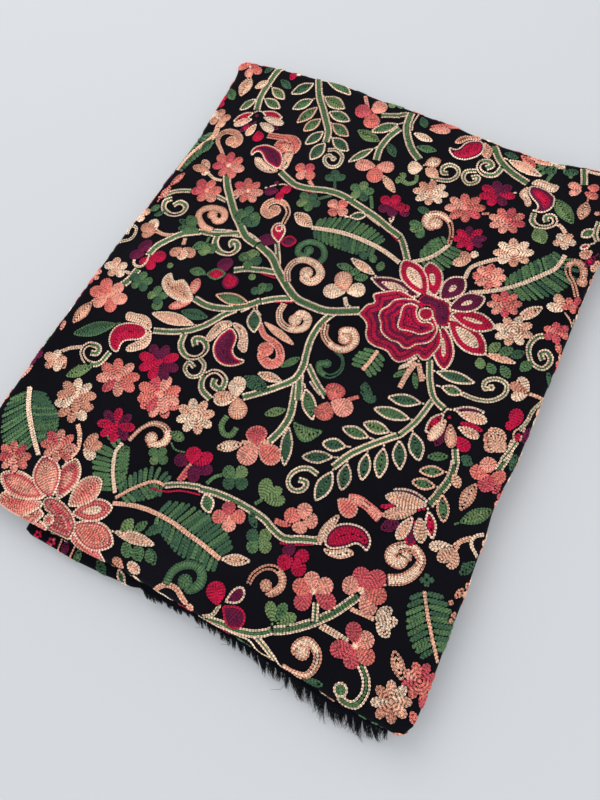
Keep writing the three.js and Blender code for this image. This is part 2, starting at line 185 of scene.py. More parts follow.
# %% A panel of cloth whose sides turn under
def on_panel(u, v, lift, radius, edge_inset, face, side):
    """A panel whose four sides turn round a fold: top side 1, bottom side -1."""
    u = np.asarray(u, float)
    v = np.asarray(v, float)
    anchor_x = HALF_WIDTH - CORNER_RADIUS
    anchor_y = HALF_LENGTH - CORNER_RADIUS
    soft = CORNER_RADIUS - radius - edge_inset
    ax = np.clip(u, -anchor_x, anchor_x)
    ay = np.clip(v, -anchor_y, anchor_y)
    distance = np.hypot(u - ax, v - ay)
    safe = np.where(distance < 1e-9, 1, distance)
    past = np.clip(distance - soft, 0, None)
    angle = np.clip(past / radius, 0, math.pi)
    tucked = np.clip(past - math.pi * radius, 0, None)
    r = radius + lift
    reach = np.where(distance <= soft, distance, soft + r * np.sin(angle) - tucked)
    x = ax + (u - ax) / safe * reach
    y = ay + (v - ay) / safe * reach
    z = face + side * (r * np.cos(angle) - radius)
    if side > 0:
        z = z + crown_at(x, y) + creases_at(u, v) * 0.5 * (1 + np.cos(angle))
    x, y = settle(x, y)
    return np.stack([x, y, z], -1)


def on_top(u, v, lift=0.0):
    return on_panel(u, v, lift, TOP_FOLD, 0, PACK_HEIGHT, 1)


def on_bottom(u, v, lift=0.0):
    return on_panel(u, v, lift, BOTTOM_FOLD, BOTTOM_INSET, 0, -1)


# %% The rim of the pack, walked at even steps
def rim_table(count):
    """Anchors and directions at even steps round the rounded rectangle."""
    anchor_x = HALF_WIDTH - CORNER_RADIUS
    anchor_y = HALF_LENGTH - CORNER_RADIUS
    corners = ((anchor_x, -anchor_y, -90), (anchor_x, anchor_y, 0), (-anchor_x, anchor_y, 90),
               (-anchor_x, -anchor_y, 180))
    rows = []
    for index, (x, y, start) in enumerate(corners):
        for step in range(7):
            turn = math.radians(start + 15 * step)
            rows.append((x, y, math.cos(turn), math.sin(turn)))
        nx, ny, _ = corners[(index + 1) % 4]
        turn = math.radians(start + 90)
        pieces = 40
        for step in range(1, pieces):
            t = step / pieces
            rows.append((x + (nx - x) * t, y + (ny - y) * t, math.cos(turn), math.sin(turn)))
    rows = np.array(rows + rows[:1])
    outer = rows[:, :2] + rows[:, 2:] * CORNER_RADIUS
    walked = np.concatenate([[0], np.cumsum(np.hypot(*np.diff(outer, axis=0).T))])
    places = np.linspace(0, walked[-1], count)
    table = np.stack([np.interp(places, walked, rows[:, i]) for i in range(4)], -1)
    length = np.hypot(table[:, 2], table[:, 3])
    table[:, 2] /= length
    table[:, 3] /= length
    return table, walked[-1]


# %% [markdown]
# ## Where the shared frame lies
# The solids were moved so that their box stands on the origin. The box of the top panel,
# set beside the same rim worked out here, gives that move back, and measuring it is safer
# than writing it down.

# %% The move from the pack's frame to the shared frame
rim, RIM_LENGTH = rim_table(400)
widest = CORNER_RADIUS - TOP_FOLD + TOP_FOLD * math.pi / 2
edge = on_top(rim[:, 0] + rim[:, 2] * widest, rim[:, 1] + rim[:, 3] * widest)
low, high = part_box("top_panel")
SHIFT = np.array([
    (low[0] + high[0]) / 2 / MM - (edge[:, 0].min() + edge[:, 0].max()) / 2,
    (low[1] + high[1]) / 2 / MM - (edge[:, 1].min() + edge[:, 1].max()) / 2,
    0.0,
])
print("move of the pack frame, mm:", SHIFT.round(2), "height", round(high[2] / MM, 2))


def to_frame(points):
    return (np.asarray(points) + SHIFT) * MM


# %% [markdown]
# ## Camera
# One camera, seen from above the front right corner, as someone sees a shawl on a table. A
# camera has no mesh, so it is placed by its matrix: its right, up and backward directions
# are the matrix's first three columns.

# %% The camera
IMAGE_WIDTH = 600
IMAGE_HEIGHT = 800
FOCAL = 600                  # in the same units as the image
CAMERA = np.array([137.96, -154.26, 398.3])
FORWARD = np.array([-0.27440, 0.25533, -0.92710])
RIGHT = np.array([0.87731, 0.46123, -0.13263])
UP = np.array([-0.39374, 0.84975, 0.35057])
SENSOR = 36

eye = bpy.data.cameras.new("camera")
camera = bpy.data.objects.new("camera", eye)
bpy.context.collection.objects.link(camera)
pose = Matrix((RIGHT, UP, -FORWARD)).transposed().to_4x4()
pose.translation = Vector(to_frame(CAMERA))
camera.matrix_world = pose
eye.sensor_width = SENSOR
eye.lens = SENSOR * FOCAL / IMAGE_HEIGHT
eye.dof.use_dof = False
bpy.context.scene.camera = camera
print("lens, mm:", round(eye.lens, 2))

# %% [markdown]
# ## From the image to the cloth
# The chart of the embroidery is written as places in the image, because that is how a
# copyist reads a motif. Each place has to be found on the cloth. The function from cloth to
# image is known, so Newton's rule walks back along it in a few rounds.

# %% Seen from the camera
SMALL = 0.05                 # step of the differences, mm
ROUNDS = 12
LONGEST_STEP = 6
LEAST_AREA = 0.25            # a place seen edge on isn't divided by less than this
BEYOND = 12                  # how far past the pack's edge the search may go


def to_picture(points):
    ray = points - CAMERA
    depth = ray @ FORWARD
    x = IMAGE_WIDTH / 2 + FOCAL * (ray @ RIGHT) / depth
    y = IMAGE_HEIGHT / 2 - FOCAL * (ray @ UP) / depth
    return np.stack([x, y], -1)


def seen_on_cloth(x, y):
    """The places on the top cloth that the camera sees at x, y of the image."""
    across = ((x - IMAGE_WIDTH / 2) / FOCAL)[:, None]
    upward = ((y - IMAGE_HEIGHT / 2) / FOCAL)[:, None]
    ray = FORWARD + RIGHT * across - UP * upward
    point = CAMERA + ray * ((PACK_HEIGHT + 0.8 - CAMERA[2]) / ray[:, 2])[:, None]
    u = point[:, 0].copy()
    v = point[:, 1].copy()
    for _ in range(ROUNDS):
        here = to_picture(on_top(u, v))
        by_u = (to_picture(on_top(u + SMALL, v)) - here) / SMALL
        by_v = (to_picture(on_top(u, v + SMALL)) - here) / SMALL
        miss_x = x - here[:, 0]
        miss_y = y - here[:, 1]
        area = by_u[:, 0] * by_v[:, 1] - by_u[:, 1] * by_v[:, 0]
        least = np.where(area < 0, -LEAST_AREA, LEAST_AREA)
        area = np.where(np.abs(area) < LEAST_AREA, least, area)
        du = (miss_x * by_v[:, 1] - miss_y * by_v[:, 0]) / area
        dv = (miss_y * by_u[:, 0] - miss_x * by_u[:, 1]) / area
        step = np.minimum(1, LONGEST_STEP / np.maximum(1e-9, np.hypot(du, dv)))
        u = np.clip(u + du * step, -HALF_WIDTH - BEYOND, HALF_WIDTH + BEYOND)
        v = np.clip(v + dv * step, -HALF_LENGTH - BEYOND, HALF_LENGTH + BEYOND)
    return np.stack([u, v], -1)


# %% A net of answers
# The answer is worked out once on a net over the image and a margin, and is read between
# its knots.
NET = 4
MARGIN = 80
net_x = np.arange(-MARGIN, IMAGE_WIDTH + MARGIN + NET, NET)
net_y = np.arange(-MARGIN, IMAGE_HEIGHT + MARGIN + NET, NET)
mesh_x, mesh_y = np.meshgrid(net_x, net_y, indexing="ij")
seen = seen_on_cloth(mesh_x.ravel(), mesh_y.ravel()).reshape(len(net_x), len(net_y), 2)
print("knots in the net:", mesh_x.size)


def to_cloth(x, y):
    fx = np.clip((np.atleast_1d(x) + MARGIN) / NET, 0, len(net_x) - 1.001)
    fy = np.clip((np.atleast_1d(y) + MARGIN) / NET, 0, len(net_y) - 1.001)
    i = fx.astype(int)
    j = fy.astype(int)
    a = (fx - i)[:, None]
    b = (fy - j)[:, None]
    low = seen[i, j] * (1 - a) + seen[i + 1, j] * a
    high = seen[i, j + 1] * (1 - a) + seen[i + 1, j + 1] * a
    return low * (1 - b) + high * b


# %% [markdown]
# ## Rows of chain stitch
# Every motif is filled with rows of chain stitch that run round it from its rim to its
# middle. The rows could be drawn as curves with a bevel, but then no single loop would show,
# and the loops are what makes this work look as it does. So a row is a line cut into stitches,
# and a map of the cloth, in small cells, keeps one motif from being worked over another.

# %% Threads and the pitch of the work
ROW = 1.15                   # from one row of stitches to the next
STITCH = 1.9                 # length of one stitch
LONG_STITCH = 2.6            # the same where the camera doesn't look
RIM_ROW = 1.3                # a rim worked in another colour is a little bolder
STALK = 2.6                  # from a rimmed leaf to its stem
FERN_PITCH = 3.2             # from one leaf of a fern to the next
FERN_LEAF = 2.8
STEM_SWELL = 1.08            # how much thicker a stem is than its charted core and rims
SHORTEST_ROW = 0.9
THIN_REACH = 0.42            # how near to each other two rows of one motif may come
TAKEN_REACH = 0.72           # and two rows of different motifs
TONE_SPREAD = 0.06           # how much the motifs differ in lightness
FAMILIES = ("cream", "coral", "crimson", "green")
THREADS = {                  # letter: (family, place in the family from light to dark)
    "c": ("cream", 0.0), "p": ("cream", 0.5), "t": ("cream", 1.0),
    "l": ("coral", 0.0), "o": ("coral", 0.5), "r": ("coral", 1.0),
    "k": ("crimson", 0.0), "m": ("crimson", 1.0),
    "v": ("green", 0.0), "g": ("green", 0.5), "d": ("green", 1.0),
}
print("threads:", len(THREADS), "in", len(FAMILIES), "families")


# %% The work on one surface
class Needlework:
    """The stitches on one surface, and the map of where the cloth is taken."""

    CELL = 0.35

    def __init__(self, width, length, stitch):
        self.stitch = stitch
        self.half = np.array([width / 2, length / 2])
        self.size = (int(width / self.CELL), int(length / self.CELL))
        self.taken = np.zeros(self.size, bool)
        self.thin = np.zeros(self.size, bool)
        self.motif = []
        self.rows = []

    def cells(self, places):
        ij = ((places + self.half) / self.CELL).astype(int)
        i = np.clip(ij[..., 0], 0, self.size[0] - 1)
        j = np.clip(ij[..., 1], 0, self.size[1] - 1)
        return i, j

    def mark(self, grid, a, b, radius):
        along = a[:, None] + (b - a)[:, None] * np.linspace(0, 1, 8)[None, :, None]
        steps = np.arange(-radius, radius + 1e-6, self.CELL * 0.7)
        disc = np.array([(x, y) for x in steps for y in steps if x * x + y * y <= radius ** 2])
        grid[self.cells(along[:, :, None] + disc[None, None])] = True

    def row(self, points, letter, closed=False, tone=0.0, width=ROW):
        """Works one row of stitches along a line, where the cloth is still free."""
        points = np.asarray(points, float)
        if closed:
            points = np.vstack([points, points[:1]])
        walked = np.concatenate([[0], np.cumsum(np.hypot(*np.diff(points, axis=0).T))])
        length = walked[-1]
        if length < SHORTEST_ROW:
            return
        count = max(3 if closed else 1, round(length / self.stitch))
        places = np.linspace(0, length, count + 1)
        if not closed and count > 2:
            places[1:-1] += length / count * rng.uniform(-0.4, 0.4)
        line = np.stack([np.interp(places, walked, points[:, i]) for i in range(2)], -1)
        a = line[:-1]
        b = line[1:]
        probes = a[:, None] + (b - a)[:, None] * np.array([0.15, 0.5, 0.85])[None, :, None]
        at = self.cells(probes)
        free = self.taken[at].sum(1) + self.thin[at].sum(1) < 2
        a = a[free]
        b = b[free]
        if len(a) == 0:
            return
        self.mark(self.thin, a, b, THIN_REACH)
        self.motif.append((a, b))
        family, place = THREADS[letter]
        shade = tone + rng.normal(0, 0.05)
        self.rows.append((family, a, b, place, shade, width))

    def close_motif(self):
        for a, b in self.motif:
            self.mark(self.taken, a, b, TAKEN_REACH)
            self.thin[self.cells(a)] = False
        self.motif = []
        self.thin[:] = False

    def is_free(self, place, radius):
        steps = np.linspace(-radius, radius, 9)
        disc = np.array([(x, y) for x in steps for y in steps if x * x + y * y <= radius ** 2])
        return not self.taken[self.cells(np.asarray(place) + disc)].any()

    def count(self):
        return sum(len(row[1]) for row in self.rows)


# %% Soft lines
def smooth(points, step=1.0):
    """A soft curve through the points, as closely spaced points."""
    points = np.asarray(points, float)
    if len(points) == 2:
        count = max(2, int(np.hypot(*(points[1] - points[0])) / step) + 1)
        return points[0] + (points[1] - points[0]) * np.linspace(0, 1, count)[:, None]
    ends = np.vstack([2 * points[0] - points[1], points, 2 * points[-1] - points[-2]])
    parts = []
    for i in range(1, len(points)):
        p0, p1, p2, p3 = ends[i - 1:i + 3]
        count = max(2, int(np.hypot(*(p2 - p1)) / step) + 1)
        t = np.linspace(0, 1, count, endpoint=False)[:, None]
        bend = (2 * p0 - 5 * p1 + 4 * p2 - p3) * t ** 2 + (-p0 + 3 * p1 - 3 * p2 + p3) * t ** 3
        parts.append(0.5 * (2 * p1 + (-p0 + p2) * t + bend))
    return np.vstack([*parts, points[-1:]])


def sideways(line):
    """Unit directions across and along a line, point by point."""
    along = np.gradient(line, axis=0)
    along /= np.maximum(1e-9, np.hypot(along[:, 0], along[:, 1]))[:, None]
    return np.stack([-along[:, 1], along[:, 0]], -1), along


# %% [markdown]
# ## Leaves, petals, buds and discs
# A leaf is pointed at both ends. A petal is pointed at its root and round at its tip, and a
# lobe is a petal with a pointed tip. A bud is round at its root and pointed at its tail. A
# disc is round all over, and a bar is the straight leaf of a fern. Each is a profile, its
# half width along its length, because a worker too draws only the outline and then follows
# it inwards. Colours are letters from the rim inwards, and the last one fills the rest.

# %% Profiles
def leaf_profile(t):
    return np.sin(np.pi * t) ** 0.95


def petal_profile(t):
    root = np.sin(np.pi / 2 * np.clip(t / 0.6, 0, 1))
    tip = np.sqrt(np.clip(1 - ((t - 0.6) / 0.4) ** 2, 0, 1))
    return np.where(t < 0.6, root, tip)


def bud_profile(t):
    root = np.sqrt(np.clip(1 - ((0.4 - t) / 0.4) ** 2, 0, 1))
    tail = np.cos(np.pi / 2 * np.clip((t - 0.4) / 0.6, 0, 1)) ** 1.5
    return np.where(t < 0.4, root, tail)


def lobe_profile(t):
    root = np.sin(np.pi / 2 * np.clip(t / 0.58, 0, 1)) ** 0.8
    tip = np.cos(np.pi / 2 * np.clip((t - 0.58) / 0.42, 0, 1)) ** 0.7
    return np.where(t < 0.58, root, tip)


def disc_profile(t):
    return np.sqrt(np.clip(1 - (2 * t - 1) ** 2, 0, 1))


def bar_profile(t):
    return np.sqrt(np.clip(1 - (2 * t - 1) ** 6, 0, 1))


FORMS = {                    # kind: (profile, root is pointed, tip is pointed)
    "leaf": (leaf_profile, True, True),
    "petal": (petal_profile, True, False),
    "lobe": (lobe_profile, True, True),
    "bud": (bud_profile, False, True),
    "disc": (disc_profile, False, False),
    "bar": (bar_profile, False, False),
}
BLUNT = 1.5                  # how far a lobe's rows stay back from its point, in row widths
SHARP = 2.4                  # the same for every other pointed end
SHORTEST_AXIS = 1.4
LEAST_LEFT = 0.14            # a last row is worked where this much of a row is left
LINE_LEFT = 0.42             # and it is a single line where only this much is left


# %% Rows round a form
def fill_form(work, root, tip, width, colours, kind, bend=0.0, tone=0.0):
    """Fills one leaf, petal, bud or disc with rows, from its rim to its middle."""
    profile, root_pointed, tip_pointed = FORMS[kind]
    root = np.asarray(root, float)
    axis = np.asarray(tip, float) - root
    length = np.hypot(*axis)
    if length < 1.5:
        return
    axis = axis / length
    side = np.array([-axis[1], axis[0]])
    half = width / 2
    slope = min(BLUNT if kind == "lobe" else SHARP, length / width)
    t = (1 - np.cos(np.pi * np.linspace(0, 1, 25))) / 2

    def place(x, y):
        s = x / length
        return root + axis * x[:, None] + side * (y + bend * length * 4 * s * (1 - s))[:, None]

    inwards = 0.0
    k = 0
    while half - inwards > LEAST_LEFT * ROW:
        letter = colours[min(k, len(colours) - 1)]
        bold = k == 0 and len(set(colours)) > 1
        row = RIM_ROW if bold else ROW
        middle = inwards + row / 2
        left = half - middle
        a = middle * (slope if root_pointed else 1)
        b = middle * (slope if tip_pointed else 1)
        if length - a - b < SHORTEST_AXIS:
            centre = (a + length - b) / 2
            a = centre - 0.8
            b = length - centre - 0.8
        x = a + (length - a - b) * t
        if left < LINE_LEFT * ROW:
            x = np.linspace(a, length - b, 12)
            work.row(place(x, np.zeros(12)), letter, tone=tone)
        else:
            y = left * profile(t)
            ring = np.vstack([place(x, y), place(x[::-1], -y[::-1])[1:-1]])
            work.row(ring, letter, closed=True, tone=tone, width=row)
        inwards += row
        k += 1


def fill_disc(work, middle, size, colours, tone=0.0):
    reach = np.array([size / 2, 0])
    fill_form(work, middle - reach, middle + reach, size, colours, "disc", tone=tone)


# %% [markdown]
# ## Stems, hooks, ferns and flowers
# A stem is a band: a rim on each side and rows of the core between them. A hook is a band
# that swells and rolls up. A fern is a thin band with bars on both sides, and a flower is a
# ring of petals round an eye. They are built from the same rows, so that each has the grain
# of the real work, which changes direction with the form.

# %% Bands
def fill_band(work, points, widths, rim, core, tone=0.0):
    """Rows side by side along a line: a rim on each side and the core between them."""
    line = smooth(points)
    across, _ = sideways(line)
    width = np.interp(np.linspace(0, 1, len(line)), np.linspace(0, 1, len(widths)), widths)
    if width.max() < 1.6 * ROW:
        work.row(line, rim, tone=tone)
        return
    bold = rim != core and width.min() > 3.2
    row = RIM_ROW if bold else ROW
    for side in (1, -1):
        edge = line + across * (side * (width / 2 - row / 2))[:, None]
        work.row(edge, rim, tone=tone, width=row)
    inner = width - 2 * row
    count = max(1, int(round(inner.max() / ROW)))
    spacing = np.clip(inner / count, 0.86 * ROW, 1.2 * ROW)
    for k in sorted(range(count), key=lambda i: abs(i - (count - 1) / 2)):
        offset = (k - (count - 1) / 2) * spacing
        fits = np.abs(offset) <= np.maximum(inner / 2 - spacing * 0.3, 0.15)
        for run in np.split(np.arange(len(line)), np.where(~fits)[0]):
            run = run[fits[run]]
            if len(run) > 2:
                edge = line[run] + across[run] * offset[run][:, None]
                work.row(edge, core, tone=tone, width=1.08 * ROW)


# %% Flowers
EYE_SHARE = 0.15             # the eye's radius as a share of the flower's
PETAL_SWELL = 1.28           # above 1, neighbours press on each other
PETAL_SPREAD = 0.075         # how much the petals of one flower differ in lightness


def flower(work, centre, tips, colours, eye_colour, tone=0.0):
    """Petals from the centre to each tip, side by side, round a small eye."""
    radius = np.hypot(*(tips - centre).T).mean()
    fill_disc(work, centre, 2 * (radius * EYE_SHARE), eye_colour, tone + 0.1)
    width = min(1.0, PETAL_SWELL * math.sin(math.pi / len(tips))) * radius
    for k, tip in enumerate(tips):
        root = centre + (tip - centre) * 0.06
        fill_form(work, root, tip, width, colours[k % len(colours)], "petal",
                  tone=tone + rng.normal(0, PETAL_SPREAD))


# %% Hooks
def hook(work, points, start, end, colours, tone=0.0):
    """A band that swells along its way and rolls up into a bulb."""
    if end > 1.5 * start:
        fill_disc(work, points[-1], end, colours, tone)
    swell = 0.45 * start + 0.35 * end
    widths = (start, start, swell, max(start, 0.66 * end), max(start, 0.6 * end))
    fill_band(work, points, widths, colours[0], colours[-1], tone)


# %% Ferns
def fern(work, points, width, spine, colours, reaches, part, tone=0.0):
    """Narrow leaves side by side, like a comb, on both sides of a spine."""
    line = smooth(points, 0.6)
    across, along = sideways(line)
    fill_band(work, points, (width, width), spine[0], spine[-1], tone)
    work.close_motif()
    length = np.hypot(*np.diff(line, axis=0).T).sum() * (part[1] - part[0])
    count = max(1, round(length / FERN_PITCH))
    for k in range(count):
        at = part[0] + (part[1] - part[0]) * (k + 0.5) / count
        i = int(at * (len(line) - 1))
        swell = 0.5 + 0.5 * math.sin(math.pi * (k + 0.7) / (count + 0.4)) ** 0.6
        for side, reach in zip((1, -1), reaches):
            if reach <= 0:
                continue
            way = across[i] * side + along[i] * 0.3
            root = line[i] + across[i] * side * width * 0.4
            letter = colours[int(rng.integers(len(colours)))]
            fill_form(work, root, line[i] + way * reach * swell, FERN_LEAF, letter, "bar",
                      tone=tone + rng.normal(0, 0.1))
            work.close_motif()


# %% Closed outlines
def fill_outline(work, points, colours, tone=0.0):
    """Rows one inside another from a closed outline, until the middle is full."""
    ring = smooth(np.vstack([points, points[:1]]), 0.5)[:-1]
    across, _ = sideways(ring)
    after = np.roll(ring, -1, axis=0)
    turn = (ring[:, 0] * after[:, 1] - ring[:, 1] * after[:, 0]).sum()
    inwards = across if turn > 0 else -across
    k = 0
    while True:
        depth = (k + 0.5) * ROW
        inner = ring + inwards * depth
        gap = np.hypot(*(inner[:, None] - ring[None]).transpose(2, 0, 1)).min(1)
        inner = inner[gap > depth * 0.97]
        if len(inner) < 5:
            break
        letter = colours[k] if k < len(colours) else colours[-1 - k % 2]
        work.row(inner, letter, closed=True, tone=tone + rng.normal(0, 0.05))
        k += 1
